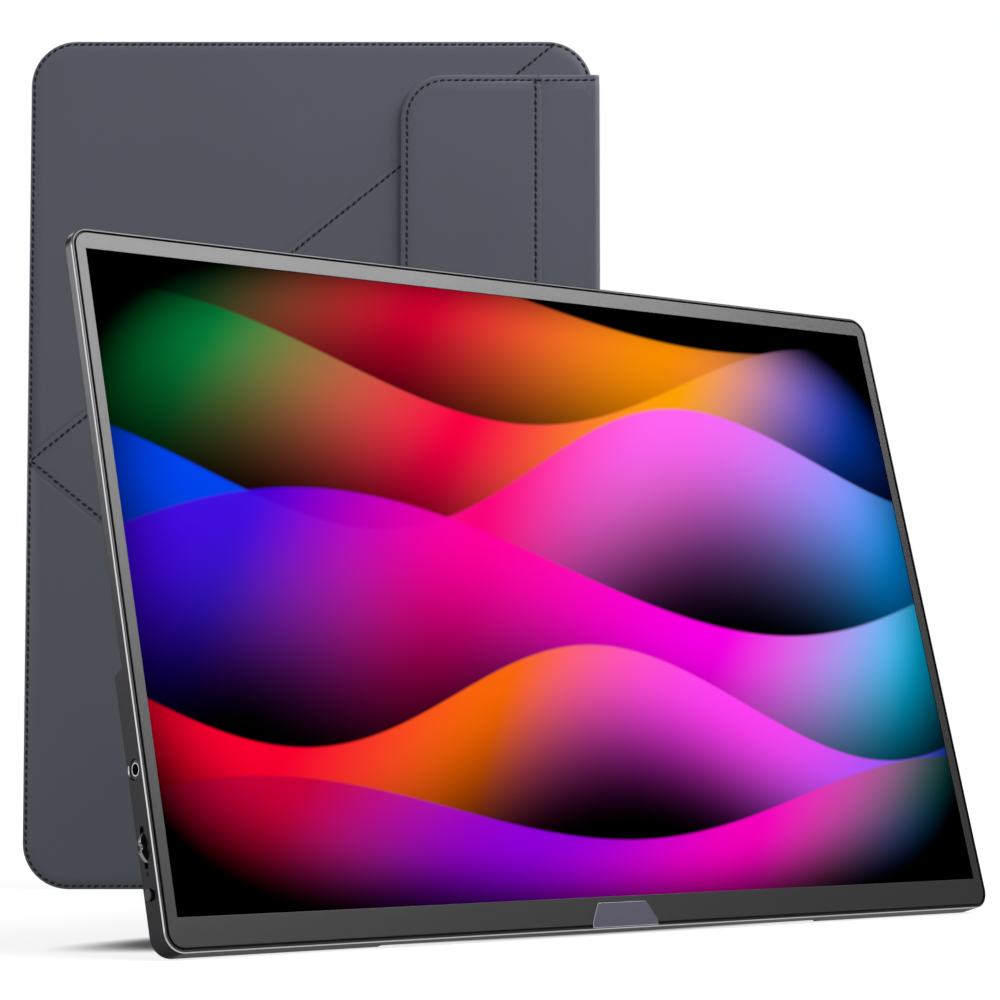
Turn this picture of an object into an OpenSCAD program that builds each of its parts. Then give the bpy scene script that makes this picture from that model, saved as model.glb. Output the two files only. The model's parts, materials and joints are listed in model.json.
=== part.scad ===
/* [Display] */
// Width of the lit picture
display_w = 344.7; // [300:0.1:380]
// Height of the lit picture
display_h = 215.4; // [190:0.1:240]
// Bezel beside the picture
bezel_side = 3.6; // [3:0.1:8]
// Bezel above the picture
bezel_top = 5.6; // [3:0.1:10]
// Bezel below the picture
bezel_chin = 9.2; // [8:0.1:16]
// Corner radius of the bezel
bezel_r = 5; // [3:0.5:8]
// Thickness of the bezel sheet
bezel_t = 0.5; // [0.4:0.05:0.8]
// Thickness of the liquid crystal glass
cell_t = 0.9; // [0.7:0.05:1.2]
// Thickness of the stack of optical sheets
sheets_t = 0.25; // [0.2:0.05:0.3]
// Thickness of the light guide
guide_t = 0.7; // [0.5:0.05:0.8]
// Thickness of the reflector
reflector_t = 0.1; // [0.05:0.05:0.15]
// Sheet thickness of the panel tray
tray_t = 0.2; // [0.15:0.05:0.25]
// Free space between the glass and the tray wall
tray_clear = 0.15; // [0.1:0.05:0.3]
// Overlap of the bezel on the glass
bezel_lap = 1; // [0.6:0.1:1.5]

/* [Shell] */
// Dark gap between bezel and rim
rim_gap = 0.65; // [0.4:0.05:1]
// Thickness of the shell's side wall
wall_t = 0.9; // [0.8:0.05:1.2]
// Outer corner radius of the shell
body_r = 6.5; // [5.5:0.5:9]
// Polished chamfer on the rim
rim_chamfer = 0.5; // [0.2:0.05:0.6]
// Thickness of the slim upper part
thin_t = 4.6; // [4.4:0.1:6]
// Sheet thickness behind the slim part
thin_floor = 0.7; // [0.6:0.1:0.9]
// Thickness of the lower part that holds the electronics
hump_t = 9.5; // [9.3:0.1:11]
// Sheet thickness behind the lower part
hump_floor = 0.8; // [0.7:0.1:1]
// Height of the lower part
hump_h = 88.5; // [86:0.5:100]
// Rounding of the back edges
back_r = 1.3; // [0.8:0.1:1.6]
// Slope of the step between the slim and the thick part
step_run = 1.2; // [0.6:0.1:3]

/* [Foot plate] */
// Angle by which the screen leans back
lean = 15.5; // [8:0.5:25]
// Width of the foot plate
plate_w = 190; // [150:1:200]
// Length of the foot plate from its hinge
plate_l = 76; // [60:1:78]
// Thickness of the foot plate
plate_t = 1.4; // [1:0.1:1.6]
// Radius of the rolled edge that holds the hinge pins
barrel_r = 2; // [1.8:0.1:2.2]
// Radius of the hinge pins
pin_r = 0.8; // [0.6:0.1:0.9]
// Radial play of a pin in its bore
pin_play = 0.05; // [0.02:0.01:0.08]
// How far the rubber pads stand proud
pad_t = 0.6; // [0.4:0.1:1]
// Play round the foot plate in its pocket
plate_clear = 0.5; // [0.3:0.1:0.8]
// Play between the folded foot plate and the pocket floor
plate_gap = 0.2; // [0.1:0.05:0.3]

/* [Controls and sockets] */
// Height of the controls behind the bezel face
port_z = 4.9; // [4.7:0.1:5.1]
// Height of the headphone socket above the shell's lower edge
jack_up = 57.25; // [55:0.05:63]
// Radius of the headphone socket's bore
jack_r = 1.8; // [1.76:0.01:1.85]
// Radius of the headphone socket's nose
jack_nose_r = 3; // [2.6:0.1:3.2]
// How far the headphone socket's face lies behind the wall's face
jack_face = 0.6; // [0.4:0.05:0.7]
// Height of the jog wheel above the shell's lower edge
jog_up = 33.25; // [32.5:0.05:34.4]
// Radius of the jog wheel
jog_r = 6.2; // [5.8:0.1:6.4]
// How far the jog wheel stands out of the wall
jog_out = 1.8; // [1.2:0.1:2.2]
// Thickness of the jog wheel
jog_t = 1.6; // [1.2:0.1:1.6]
// Length of the jog wheel's slot
slot_l = 13.2; // [12.8:0.1:14]
// Height of the jog wheel's slot
slot_w = 2.2; // [2:0.1:2.4]
// Height of the status light above the shell's lower edge
led_up = 25.05; // [24:0.05:25.2]
// Radius of the status light
led_r = 0.75; // [0.6:0.05:0.8]
// Height of the power button above the shell's lower edge
button_up = 18.85; // [18:0.05:19.4]
// Radius of the power button
button_r = 1.8; // [1.5:0.1:1.9]
// How far the power button stands out of the wall
button_out = 1; // [0.6:0.1:1.2]
// Play round the button, the wheel and the sockets
port_clear = 0.2; // [0.15:0.05:0.3]
// Height of the picture socket above the shell's lower edge
hdmi_up = 64.5; // [63:0.5:66]
// Height of the lower data socket above the shell's lower edge
usb_up = 33.5; // [32:0.5:35]
// Distance between the two data sockets
usb_pitch = 15; // [13:0.5:17]

/* [Cover] */
// Width of the cover panel
panel_w = 240.9; // [230:0.1:260]
// Height of the cover panel
panel_h = 362; // [350:1:375]
// Corner radius of the cover panel
panel_r = 19.5; // [12:0.5:24]
// Thickness of the cover panel
panel_t = 2.4; // [2:0.1:3]
// Where the diagonal folds meet the upper edge
fold_top_u = 224.6; // [180:0.1:226]
// Gap left between two leaves at a fold
fold_gap = 0.6; // [0.4:0.1:1]
// Thickness of the folded flap
flap_t = 2.2; // [1.8:0.1:2.6]
// Space between the flap and the panel
flap_gap = 0.3; // [0.2:0.05:0.6]
// Width of the flap's free leaf
flap_w = 58.7; // [40:0.1:70]
// Width of the spine strip
strip_w = 23.9; // [20:0.1:32]
// Distance of the flap's ends from the panel's ends
flap_inset = 15; // [10:0.5:19]
// Corner radius of the flap
flap_r = 19; // [10:0.5:24]
// Thickness of the lining
lining_t = 0.4; // [0.3:0.05:0.5]
// Thickness of the leather
skin_t = 0.7; // [0.5:0.05:0.8]
// Width of the sewn border without a board
border_w = 4; // [3:0.5:6]

/* [Placing] */
// Angle by which the cover is turned from the screen
cover_turn = 38.3; // [30:0.5:45]
// Sideways place of the cover's middle
cover_x = 67.9; // [60:0.1:80]
// Distance of the cover's middle behind the foot pad
cover_y = 263.1; // [250:0.1:300]

/* [Hidden] */
$fn = 64;
cut = 1;

// The screen is drawn flat: x to the right, y up the picture, z out of the picture,
// with the picture's centre at x = y = 0 and the bezel's face at z = 0.
bezel_w = display_w + 2 * bezel_side;
bezel_h = display_h + bezel_top + bezel_chin;
mid_y = (bezel_top - bezel_chin) / 2;
body_w = bezel_w + 2 * (rim_gap + wall_t);
body_h = bezel_h + 2 * (rim_gap + wall_t);
side_x = body_w / 2;
body_bottom = mid_y - body_h / 2;
inner_x = side_x - wall_t;
inner_r = body_r - wall_t;
hump_top = body_bottom + hump_h;
thin_z = -thin_t + thin_floor;
hump_z = -hump_t + hump_floor;
step_chamfer = 0.8;
step_wall = 1.2;
thin_back_r = 0.9;

// The stack of the display from the bezel down.
cell_z = -bezel_t;
sheets_z = cell_z - cell_t;
guide_z = sheets_z - sheets_t;
reflector_z = guide_z - guide_t;
tray_z = reflector_z - reflector_t;
tray_back = tray_z - tray_t;
cell_w = display_w + 2 * bezel_lap;
cell_ledge = 3.5;
cell_top = display_h / 2 + bezel_lap;
cell_bottom = -display_h / 2 - cell_ledge;
tray_w = cell_w + 2 * (tray_clear + tray_t);
tray_top = cell_top + tray_clear + tray_t;
tray_bottom = cell_bottom - tray_clear - tray_t;
guide_bottom = -display_h / 2 - 1.2;
led_count = 36;
led_pitch = 9.4;
led_size = [3.4, 1, 0.6];
led_film_t = 0.15;
led_gap = 0.05;
shelf_w = 4;
gap_depth = 0.9;
frame_inset = 0.3;
foam_w = 8;
timing_board = [120, 15];
timing_chip = [8, 8, 0.9];

// The hinge of the foot plate lies so that the pads and the back edge share one floor.
edge_y = body_bottom + back_r;
edge_z = -hump_t + back_r;
hinge_z = -hump_t + barrel_r;
hinge_y = edge_y + (barrel_r + pad_t - back_r - (hinge_z - edge_z) * sin(lean)) / cos(lean);
open_angle = 90 - lean;
foot_pad_at = 12;
pad_w = 6;
end_pad_at = plate_l - 9;
origin_y = (hinge_y - edge_y) * sin(lean) - (hinge_z - edge_z) * cos(lean) + foot_pad_at;
groove_r = barrel_r + plate_gap;
groove_wall = 0.8;
groove_keep = 0.4;
thumb_r = 11;
plate_corner = 6;
pocket_z = -hump_t + plate_t + plate_gap;
pocket_x = plate_w / 2 + plate_clear;
pocket_top = hinge_y + plate_l + plate_clear;
notch_z = hinge_z + 1.6;
bracket_w = 14;
bracket_x = pocket_x + groove_wall + 0.3;
bracket_end = bracket_x + bracket_w;
bracket_h = 3.3;
bracket_leaf = 0.8;
bracket_top = hinge_y + 16;
bracket_screws = [for (sx = [-1, 1]) for (share = [0.25, 0.75])
                  [sx * (bracket_x + share * bracket_w), bracket_top - 4]];
pin_in_barrel = 11;
screw_r = 0.75;
screw_play = 0.05;
screw_hole = screw_r + 0.25;

// Boards and sockets. The boards lie between the pocket and the side walls.
usb_w = 8.94;
usb_h = 3.26;
usb_l = 8;
usb_tongue_w = 6.6;
socket_t = 0.3;
socket_set = 0.4;
tongue_t = 0.7;
tongue_set = 1.6;
hdmi_w = 11.2;
hdmi_h = 3.2;
hdmi_l = 7.6;
hdmi_tongue_w = 7.6;
usb_places = [usb_up, usb_up + usb_pitch];
board_t = 0.8;
board_z = -port_z - usb_h / 2;
board_out = side_x - 5.5;
board_in = pocket_x + groove_wall + 2.7;
board_w = board_out - board_in;
board_top = hump_top - 10;
main_bottom = body_bottom + button_up - 2.2;
port_bottom = body_bottom + usb_up - 12;
boss_r = 2.5;
boss_in = 5;
boss_out = 9;
boss_beside_cable = 17;
boss_top = board_top - 4;
main_bosses = [
    [-board_out + boss_out, boss_top], [-board_in - boss_in, boss_top],
    [-board_in - boss_beside_cable, main_bottom + boss_in], [-board_out + boss_out, main_bottom + boss_in]
];
port_bosses = [
    [board_in + boss_in, boss_top], [board_out - boss_out, boss_top],
    [board_in + boss_in, port_bottom + boss_in], [board_out - boss_out, port_bottom + boss_in]
];
board_bosses = concat(main_bosses, port_bosses);
shield_w = board_w - 37.5;
shield_h = board_top - main_bottom - 28;
shield_t = 0.3;
shield_tall = 2;
shield_at = [-board_in - 15 - shield_w, main_bottom + 8];
chip_t = 1;
ribbon_t = 0.15;
panel_ribbon_w = 9;
link_ribbon_w = 12;
case_boss_r = 2.2;
case_x = inner_x - 5;
case_points = [for (sx = [-1, 1]) for (y = [hump_top - 6, body_bottom + 6.4]) [sx * case_x, y]];
case_head_r = 1.5;
case_head_t = 0.4;
case_sunk = 0.45;
jack_l = 14.6;
jack_w = 6.2;
jack_top = 0.2;
jack_sleeve_l = 2.2;
jack_sleeve_t = 0.25;
notch_top = tray_back + 0.45;
notch_l = 20;
notch_play = 0.3;
jog_x = -side_x - jog_out + jog_r;
jog_pin_r = 0.7;
cradle_t = 0.65;
cradle_l = 7.5;
jog_travel = 0.4;
jog_switch_size = [6, 9, 2.4];
flange_r = button_r + 0.6;
flange_t = 0.55;
stem_r = 0.9;
stem_end = wall_t + 3.1;
switch_gap = 0.5;
switch_size = [3, 4, 2.6];
speaker_room = case_x - case_boss_r - bracket_end;
speaker_l = 0.6 * speaker_room;
speaker_h = 10.5;
speaker_t = 4.2;
speaker_x = bracket_end + speaker_room / 2;
speaker_y = body_bottom + wall_t + 1 + speaker_h / 2;
grille_count = 9;
grille_pitch = 3;
grille_slot = [7, 1];
grille_places = [for (sx = [-1, 1]) for (k = [0 : grille_count - 1])
                 sx * speaker_x + (k - (grille_count - 1) / 2) * grille_pitch];

// The cover is drawn flat too: x across, y up, z out of the face that shows the flap.
fold_angle = atan2(panel_h / 2, fold_top_u);
fold_dir = [cos(fold_angle), sin(fold_angle)];
fold_side = [-sin(fold_angle), cos(fold_angle)];
spine_u = panel_w + fold_gap;
flap_z = panel_t + flap_gap;
spine_r = (flap_z + flap_t) / 2;
flap_line = spine_u - strip_w;
magnet_r = 4;
magnet_count = 6;
bar_magnet = [20, 5];
bar_from_spine = [14 + border_w, 70];
bar_height = 0.32 * panel_h;

// A rectangle with round corners, centred.
module round_rect(w, h, r) {
    square([w - 2 * r, h], center = true);
    square([w, h - 2 * r], center = true);
    for (x = [-1, 1])
        for (y = [-1, 1])
            translate([x * (w / 2 - r), y * (h / 2 - r)])
                circle(r);
}

// A slot with round ends, centred, long along x.
module stadium(l, w) {
    square([l - w, w], center = true);
    for (x = [-1, 1])
        translate([x * (l - w) / 2, 0])
            circle(w / 2);
}

// Carries a profile round a rectangle with round corners. The profile's x runs outwards
// from the corner's centre and its y is the height.
module edge_sweep(w, h, r) {
    for (k = [0 : 3]) {
        run = k % 2 == 0 ? h - 2 * r : w - 2 * r;
        out = k % 2 == 0 ? w / 2 - r : h / 2 - r;
        rotate([0, 0, 90 * k])
            translate([out, run / 2, 0])
                rotate([90, 0, 0])
                    linear_extrude(run)
                        children();
        rotate([0, 0, 90 * k])
            translate([out, run / 2, 0])
                rotate_extrude(angle = 90)
                    children();
    }
}

// A plate from z0 to z1 with round corners, a rounded lower edge and a chamfered upper edge.
module rounded_plate(w, h, r, z0, z1, fillet, chamfer) {
    translate([-w / 2 + r, -h / 2 + r, z0])
        cube([w - 2 * r, h - 2 * r, z1 - z0]);
    edge_sweep(w, h, r)
        difference() {
            union() {
                translate([0, z0 + fillet])
                    square([r, z1 - z0 - fillet]);
                if (fillet > 0) {
                    translate([0, z0])
                        square([r - fillet, fillet]);
                    translate([r - fillet, z0 + fillet])
                        circle(fillet);
                }
            }
            if (chamfer > 0)
                polygon([[r - chamfer, z1], [r, z1 - chamfer], [r + cut, z1 - chamfer],
                         [r + cut, z1 + cut], [r - chamfer, z1 + cut]]);
        }
}

// Stands the flat screen on its back edge, leaning back.
module stand_up() {
    translate([0, -origin_y, back_r])
        rotate([open_angle, 0, 0])
            translate([0, -edge_y, -edge_z])
                children();
}

// Swings the foot plate out of its pocket until it lies on the floor.
module swing_out() {
    translate([0, hinge_y, hinge_z])
        rotate([-open_angle, 0, 0])
            translate([0, -hinge_y, -hinge_z])
                children();
}

// Stands the flat cover upright behind the screen.
module cover_up() {
    translate([cover_x, cover_y, 0])
        rotate([0, 0, -cover_turn])
            rotate([90, 0, 0])
                translate([-panel_w / 2, 0, 0])
                    children();
}

// A cylinder along x from x0 to x1.
module rod_x(x0, x1, r) {
    translate([x0, 0, 0])
        rotate([0, 90, 0])
            cylinder(h = x1 - x0, r = r);
}

// Puts a piece in the left wall, at a control's height above the lower edge.
module at_left(up) {
    translate([-side_x, body_bottom + up, -port_z])
        children();
}

// Puts a piece in the right wall, at a socket's height above the lower edge.
module at_right(up) {
    translate([side_x, body_bottom + up, -port_z])
        children();
}

// A shape drawn across the wall, pushed along x from x0 to x1. Its x is the wall's length.
module across_wall(x0, x1) {
    translate([x0, 0, 0])
        rotate([90, 0, 90])
            linear_extrude(x1 - x0)
                children();
}

// The outside of the shell as one block.
module shell_block() {
    translate([0, mid_y, 0])
        rounded_plate(body_w, body_h, body_r, -thin_t, 0, thin_back_r, rim_chamfer);
    intersection() {
        translate([0, mid_y, 0])
            rounded_plate(body_w, body_h, body_r, -hump_t, 0, back_r, rim_chamfer);
        across_wall(-side_x - cut, side_x + cut)
            polygon([[body_bottom - cut, cut], [body_bottom - cut, -hump_t - cut],
                     [hump_top - step_run - step_chamfer - cut, -hump_t - cut],
                     [hump_top - step_run, -hump_t + step_chamfer],
                     [hump_top, -thin_t], [hump_top, cut]]);
    }
}

// The hollow inside the shell.
module shell_hollow() {
    translate([0, mid_y, thin_z])
        linear_extrude(thin_t + cut)
            round_rect(2 * inner_x, body_h - 2 * wall_t, inner_r);
    intersection() {
        translate([0, mid_y, hump_z])
            linear_extrude(hump_t)
                round_rect(2 * inner_x, body_h - 2 * wall_t, inner_r);
        translate([-side_x, body_bottom, -hump_t])
            cube([body_w, hump_h - step_run - step_wall, hump_t]);
    }
}

// The walls of the pocket and the groove that take the foot plate.
module pocket_walls() {
    wall_x = pocket_x + groove_wall;
    translate([-wall_x, hinge_y, -hump_t])
        cube([2 * wall_x, pocket_top + groove_wall - hinge_y, hump_t + pocket_z + hump_floor]);
    intersection() {
        translate([0, hinge_y, hinge_z])
            rod_x(-wall_x, wall_x, groove_r + groove_wall);
        translate([-wall_x - cut, body_bottom + groove_keep, -hump_t + groove_keep])
            cube([2 * (wall_x + cut), hump_t, hump_t]);
    }
}

// The space that the foot plate folds into, open to the back and to the bottom edge.
module pocket_space() {
    translate([-pocket_x, hinge_y, -hump_t - cut])
        cube([2 * pocket_x, pocket_top - hinge_y, pocket_z + hump_t + cut]);
    translate([0, hinge_y, hinge_z])
        rod_x(-pocket_x, pocket_x, groove_r);
    translate([-pocket_x, body_bottom - cut, -hump_t - cut])
        cube([2 * pocket_x, hinge_y - body_bottom + cut, notch_z + hump_t + cut]);
    translate([0, hinge_y, hinge_z])
        rod_x(-pocket_x - groove_wall - cut, pocket_x + groove_wall + cut, pin_r + 0.2);
    translate([0, pocket_top, -hump_t - cut])
        cylinder(h = plate_t + cut, r = thumb_r);
}

module rear_shell() {
    color([0.33, 0.34, 0.35])
        difference() {
            union() {
                difference() {
                    shell_block();
                    shell_hollow();
                }
                pocket_walls();
                for (p = board_bosses)
                    translate([p[0], p[1], hump_z])
                        cylinder(h = board_z - board_t - hump_z, r = boss_r);
            }
            pocket_space();
            for (p = board_bosses)
                translate([p[0], p[1], hump_z - 0.5])
                    cylinder(h = hump_t, r = screw_r + screw_play);
            for (p = case_points)
                translate([p[0], p[1], -hump_t - cut]) {
                    cylinder(h = case_sunk + cut, r = case_head_r + 0.1);
                    cylinder(h = 2 * cut + hump_floor, r = screw_hole);
                }
            for (p = bracket_screws)
                translate([p[0], p[1], -hump_t + 0.2])
                    cylinder(h = hump_t, r = screw_r + screw_play);
            for (x = grille_places)
                translate([x, speaker_y, -hump_t - cut])
                    linear_extrude(hump_floor + 2 * cut)
                        rotate(90)
                            stadium(grille_slot[0], grille_slot[1]);
            at_left(jack_up) {
                rod_x(-cut, wall_t + cut, jack_nose_r + 0.05);
                rotate([0, 90, 0])
                    translate([0, 0, -0.01])
                        cylinder(h = 0.3, r1 = jack_nose_r + 0.36, r2 = jack_nose_r + 0.05);
            }
            at_left(jog_up)
                across_wall(-cut, wall_t + cut)
                    stadium(slot_l, slot_w);
            at_left(led_up)
                rod_x(-cut, wall_t + cut, led_r);
            at_left(button_up)
                rod_x(-cut, wall_t + cut, button_r + port_clear);
            for (up = usb_places)
                at_right(up)
                    across_wall(-wall_t - cut, cut)
                        stadium(usb_w + 2 * port_clear, usb_h + 2 * port_clear);
            at_right(hdmi_up)
                across_wall(-wall_t - cut, cut)
                    translate([0, board_z + hdmi_h / 2 + port_z])
                        square([hdmi_w + 2 * port_clear, hdmi_h + 2 * port_clear], center = true);
        }
}

// A rectangle across the middle line, between two heights.
module span(w, top, bottom) {
    translate([-w / 2, bottom])
        square([w, top - bottom]);
}

// A ring from z0 to z1: the first child's outline without the second child's.
module ring(z0, z1) {
    translate([0, 0, z0])
        linear_extrude(z1 - z0)
            difference() {
                children(0);
                children(1);
            }
}

// The shell's inner outline, drawn in by the inset.
module frame_outline(inset) {
    translate([0, mid_y])
        round_rect(2 * (inner_x - inset), body_h - 2 * (wall_t + inset), inner_r - inset);
}

// A space beside a wall that leaves room for one socket or control.
module notch(x, up, half_w) {
    translate([x, body_bottom + up - half_w, thin_z - cut])
        cube([notch_l, 2 * half_w, notch_top - thin_z + cut]);
}

module mid_frame() {
    lip = rim_gap + frame_inset;
    color([0.05, 0.05, 0.055])
        difference() {
            union() {
                ring(thin_z, -gap_depth) {
                    frame_outline(0);
                    span(tray_w, tray_top, tray_bottom);
                }
                ring(-gap_depth, -bezel_t) {
                    frame_outline(lip);
                    span(tray_w, tray_top, tray_bottom);
                }
                ring(thin_z, tray_back) {
                    span(tray_w, tray_top, tray_bottom);
                    span(tray_w - 2 * shelf_w, tray_top - shelf_w, tray_bottom + shelf_w);
                }
                for (p = case_points)
                    translate([p[0], p[1], hump_z])
                        cylinder(h = thin_z - hump_z, r = case_boss_r);
            }
            for (p = case_points)
                translate([p[0], p[1], hump_z - cut])
                    cylinder(h = thin_z - hump_z + cut, r = screw_r + screw_play);
            notch(-side_x, jack_up, jack_w / 2 + notch_play);
            notch(-side_x, button_up, flange_r + notch_play);
            notch(side_x - notch_l, hdmi_up, hdmi_w / 2 + notch_play);
            for (up = usb_places)
                notch(side_x - notch_l, up, usb_w / 2 + notch_play);
        }
}

module bezel() {
    color([0.42, 0.42, 0.43])
        difference() {
            translate([0, mid_y, 0])
                rounded_plate(bezel_w, bezel_h, bezel_r, -bezel_t, 0, 0, 0.15);
            translate([-display_w / 2, -display_h / 2, -bezel_t - cut])
                cube([display_w, display_h, bezel_t + 2 * cut]);
        }
}

module chin_plate() {
    top = -display_h / 2 - 2;
    low = body_bottom + rim_chamfer;
    color([0.36, 0.35, 0.4])
        linear_extrude(0.4)
            polygon([[-10, top], [11, top], [14.8, low + 1.7], [14.8, low], [-13.6, low], [-13.6, low + 1.7]]);
}

// A sheet of the display stack that ends at the given lower edge.
module stack_sheet(z, t, bottom) {
    width = cell_w - 0.3;
    translate([-width / 2, bottom, z - t])
        cube([width, cell_top - bottom, t]);
}

module lcd_cell() {
    color([0.03, 0.03, 0.04])
        translate([-cell_w / 2, cell_bottom, cell_z - cell_t])
            cube([cell_w, cell_top - cell_bottom, cell_t]);
}

module optical_sheets() {
    color([0.93, 0.93, 0.95])
        stack_sheet(sheets_z, sheets_t, cell_bottom);
}

module light_guide() {
    color([0.85, 0.92, 0.95])
        stack_sheet(guide_z, guide_t, guide_bottom);
}

module reflector_sheet() {
    color([0.96, 0.96, 0.96])
        stack_sheet(reflector_z, reflector_t, guide_bottom);
}

module led_strip() {
    color([0.9, 0.85, 0.5])
        union() {
            translate([-led_count * led_pitch / 2, cell_bottom, tray_z])
                cube([led_count * led_pitch, guide_bottom - cell_bottom - led_gap, led_film_t]);
            for (k = [0 : led_count - 1])
                translate([(k - (led_count - 1) / 2) * led_pitch - led_size[0] / 2,
                           guide_bottom - led_gap - led_size[1], tray_z + led_film_t])
                    cube(led_size);
        }
}

module panel_tray() {
    color([0.7, 0.72, 0.74])
        difference() {
            translate([-tray_w / 2, tray_bottom, tray_back])
                cube([tray_w, tray_top - tray_bottom, -bezel_t - tray_back]);
            translate([-tray_w / 2 + tray_t, tray_bottom + tray_t, tray_z])
                cube([tray_w - 2 * tray_t, tray_top - tray_bottom - 2 * tray_t, thin_t]);
        }
}

module panel_pads() {
    pad_h = tray_back - thin_z;
    reach = tray_w / 2 - shelf_w - 1;
    row_bottom = tray_top - shelf_w - 1 - foam_w;
    column_bottom = hump_top + 6;
    color([0.15, 0.15, 0.16]) {
        translate([-reach, row_bottom, thin_z])
            cube([2 * reach, foam_w, pad_h]);
        for (k = [-1 : 0.5 : 1])
            translate([k * (reach - foam_w / 2) - foam_w / 2, column_bottom, thin_z])
                cube([foam_w, row_bottom - 1 - column_bottom, pad_h]);
    }
}

module panel_board() {
    low = tray_bottom + shelf_w + 1;
    color([0.05, 0.3, 0.16]) {
        translate([-timing_board[0] / 2, low, tray_back - board_t])
            cube([timing_board[0], timing_board[1], board_t]);
        for (k = [-0.3, 0, 0.3])
            translate([k * timing_board[0] - timing_chip[0] / 2, low + (timing_board[1] - timing_chip[1]) / 2,
                       tray_back - board_t - timing_chip[2]])
                cube(timing_chip);
    }
}

module panel_cable() {
    high = tray_back - board_t;
    low = board_z + ribbon_t;
    start = -timing_board[0] / 2 + 10;
    bend = -timing_board[0] / 2 - 16;
    landing = -board_in - 2;
    end = -board_in - 13;
    color([0.85, 0.82, 0.75])
        translate([0, main_bottom + 1, 0])
            rotate([90, 0, 0])
                mirror([0, 0, 1])
                    linear_extrude(panel_ribbon_w)
                        polygon([[start, high], [bend, high], [landing, low], [end, low], [end, board_z],
                                 [landing, board_z], [bend, high - ribbon_t], [start, high - ribbon_t]]);
}

// A circuit board with a hole for each boss.
module board(x0, x1, y0, y1, bosses) {
    translate([0, 0, board_z - board_t])
        linear_extrude(board_t)
            difference() {
                translate([x0, y0])
                    square([x1 - x0, y1 - y0]);
                for (p = bosses)
                    translate(p)
                        circle(screw_hole);
            }
}

// Flat chips on a board's face. Each place is a share of the width and height that they fill.
module chips(at, w, h, places) {
    for (c = places)
        translate([at[0] + c[0] * w, at[1] + c[1] * h, board_z])
            cube([c[2] * w, c[3] * h, chip_t]);
}

module main_board() {
    color([0.04, 0.28, 0.15])
        difference() {
            board(-board_out, -board_in, main_bottom, board_top, main_bosses);
            translate([-side_x, body_bottom + jack_up - jack_w / 2 - 0.1, board_z - board_t - cut])
                cube([jack_l + 0.3, jack_w + 0.2, board_t + 2 * cut]);
        }
}

module board_chips() {
    color([0.08, 0.08, 0.09])
        chips(shield_at, shield_w, shield_h, [[0.08, 0.1, 0.33, 0.35], [0.52, 0.14, 0.25, 0.26],
              [0.1, 0.62, 0.2, 0.18], [0.38, 0.58, 0.22, 0.2], [0.72, 0.58, 0.16, 0.24]]);
}

module board_shield() {
    color([0.75, 0.76, 0.78])
        translate([shield_at[0], shield_at[1], board_z])
            difference() {
                cube([shield_w, shield_h, shield_tall]);
                translate([shield_t, shield_t, -cut])
                    cube([shield_w - 2 * shield_t, shield_h - 2 * shield_t, shield_tall - shield_t + cut]);
            }
}

module port_board() {
    color([0.04, 0.28, 0.15]) {
        board(board_in, board_out, port_bottom, board_top, port_bosses);
        chips([board_in, port_bottom], board_w, board_top - port_bottom,
              [[0.2, 0.54, 0.11, 0.14], [0.4, 0.6, 0.08, 0.16], [0.56, 0.3, 0.1, 0.09]]);
    }
}

module link_cable() {
    reach = board_in + 8;
    color([0.85, 0.82, 0.75])
        translate([-reach, board_top - 12 - link_ribbon_w, board_z])
            cube([2 * reach, link_ribbon_w, ribbon_t]);
}

module usb_c_sockets() {
    color([0.72, 0.73, 0.75])
        for (up = usb_places)
            at_right(up) {
                difference() {
                    across_wall(-usb_l - socket_set, -socket_set)
                        stadium(usb_w, usb_h);
                    across_wall(-usb_l, 0)
                        stadium(usb_w - 2 * socket_t, usb_h - 2 * socket_t);
                }
                across_wall(-usb_l, -tongue_set)
                    square([usb_tongue_w, tongue_t], center = true);
            }
}

// The picture socket's outline: flat above, with slanting corners below.
module hdmi_outline(inset, corner) {
    x = hdmi_w / 2 - inset;
    y = hdmi_h / 2 - inset;
    polygon([[-x, y], [-x, corner - y], [corner - x, -y], [x - corner, -y], [x, corner - y], [x, y]]);
}

module mini_hdmi_socket() {
    color([0.72, 0.73, 0.75])
        at_right(hdmi_up)
            translate([0, 0, board_z + hdmi_h / 2 + port_z]) {
                difference() {
                    across_wall(-hdmi_l - socket_set, -socket_set)
                        hdmi_outline(0, 1.2);
                    across_wall(-hdmi_l, 0)
                        hdmi_outline(socket_t, 1.1);
                }
                across_wall(-hdmi_l, -tongue_set)
                    translate([0, 0.2])
                        square([hdmi_tongue_w, tongue_t], center = true);
            }
}

module headphone_jack() {
    color([0.04, 0.04, 0.045])
        at_left(jack_up)
            difference() {
                union() {
                    rod_x(jack_face, wall_t, jack_nose_r);
                    translate([wall_t, -jack_w / 2, port_z + hump_z])
                        cube([jack_l - wall_t, jack_w, tray_back - jack_top - hump_z]);
                }
                rod_x(0, jack_l + cut, jack_r);
                rod_x(0, jack_face + jack_sleeve_l, jack_r + jack_sleeve_t);
            }
}

module jack_ring() {
    color([0.85, 0.85, 0.87])
        at_left(jack_up)
            difference() {
                rod_x(jack_face, jack_face + jack_sleeve_l, jack_r + jack_sleeve_t);
                rod_x(0, jack_l, jack_r);
            }
}

module power_switch() {
    color([0.12, 0.12, 0.13])
        at_left(button_up)
            translate([stem_end + switch_gap, -switch_size[1] / 2, board_z + port_z])
                cube(switch_size);
}

module jog_switch() {
    color([0.12, 0.12, 0.13])
        translate([jog_x + jog_r + jog_travel + 0.1, body_bottom + jog_up - jog_switch_size[1] / 2, board_z])
            cube(jog_switch_size);
}

module light_pipe() {
    foot = [1.5, 1.2];
    color([0.9, 0.95, 0.9])
        at_left(led_up) {
            rod_x(0.1, 8, led_r - 0.05);
            translate([6, -foot[1] / 2, board_z + port_z])
                cube([foot[0], foot[1], -board_z - port_z]);
        }
}

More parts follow.
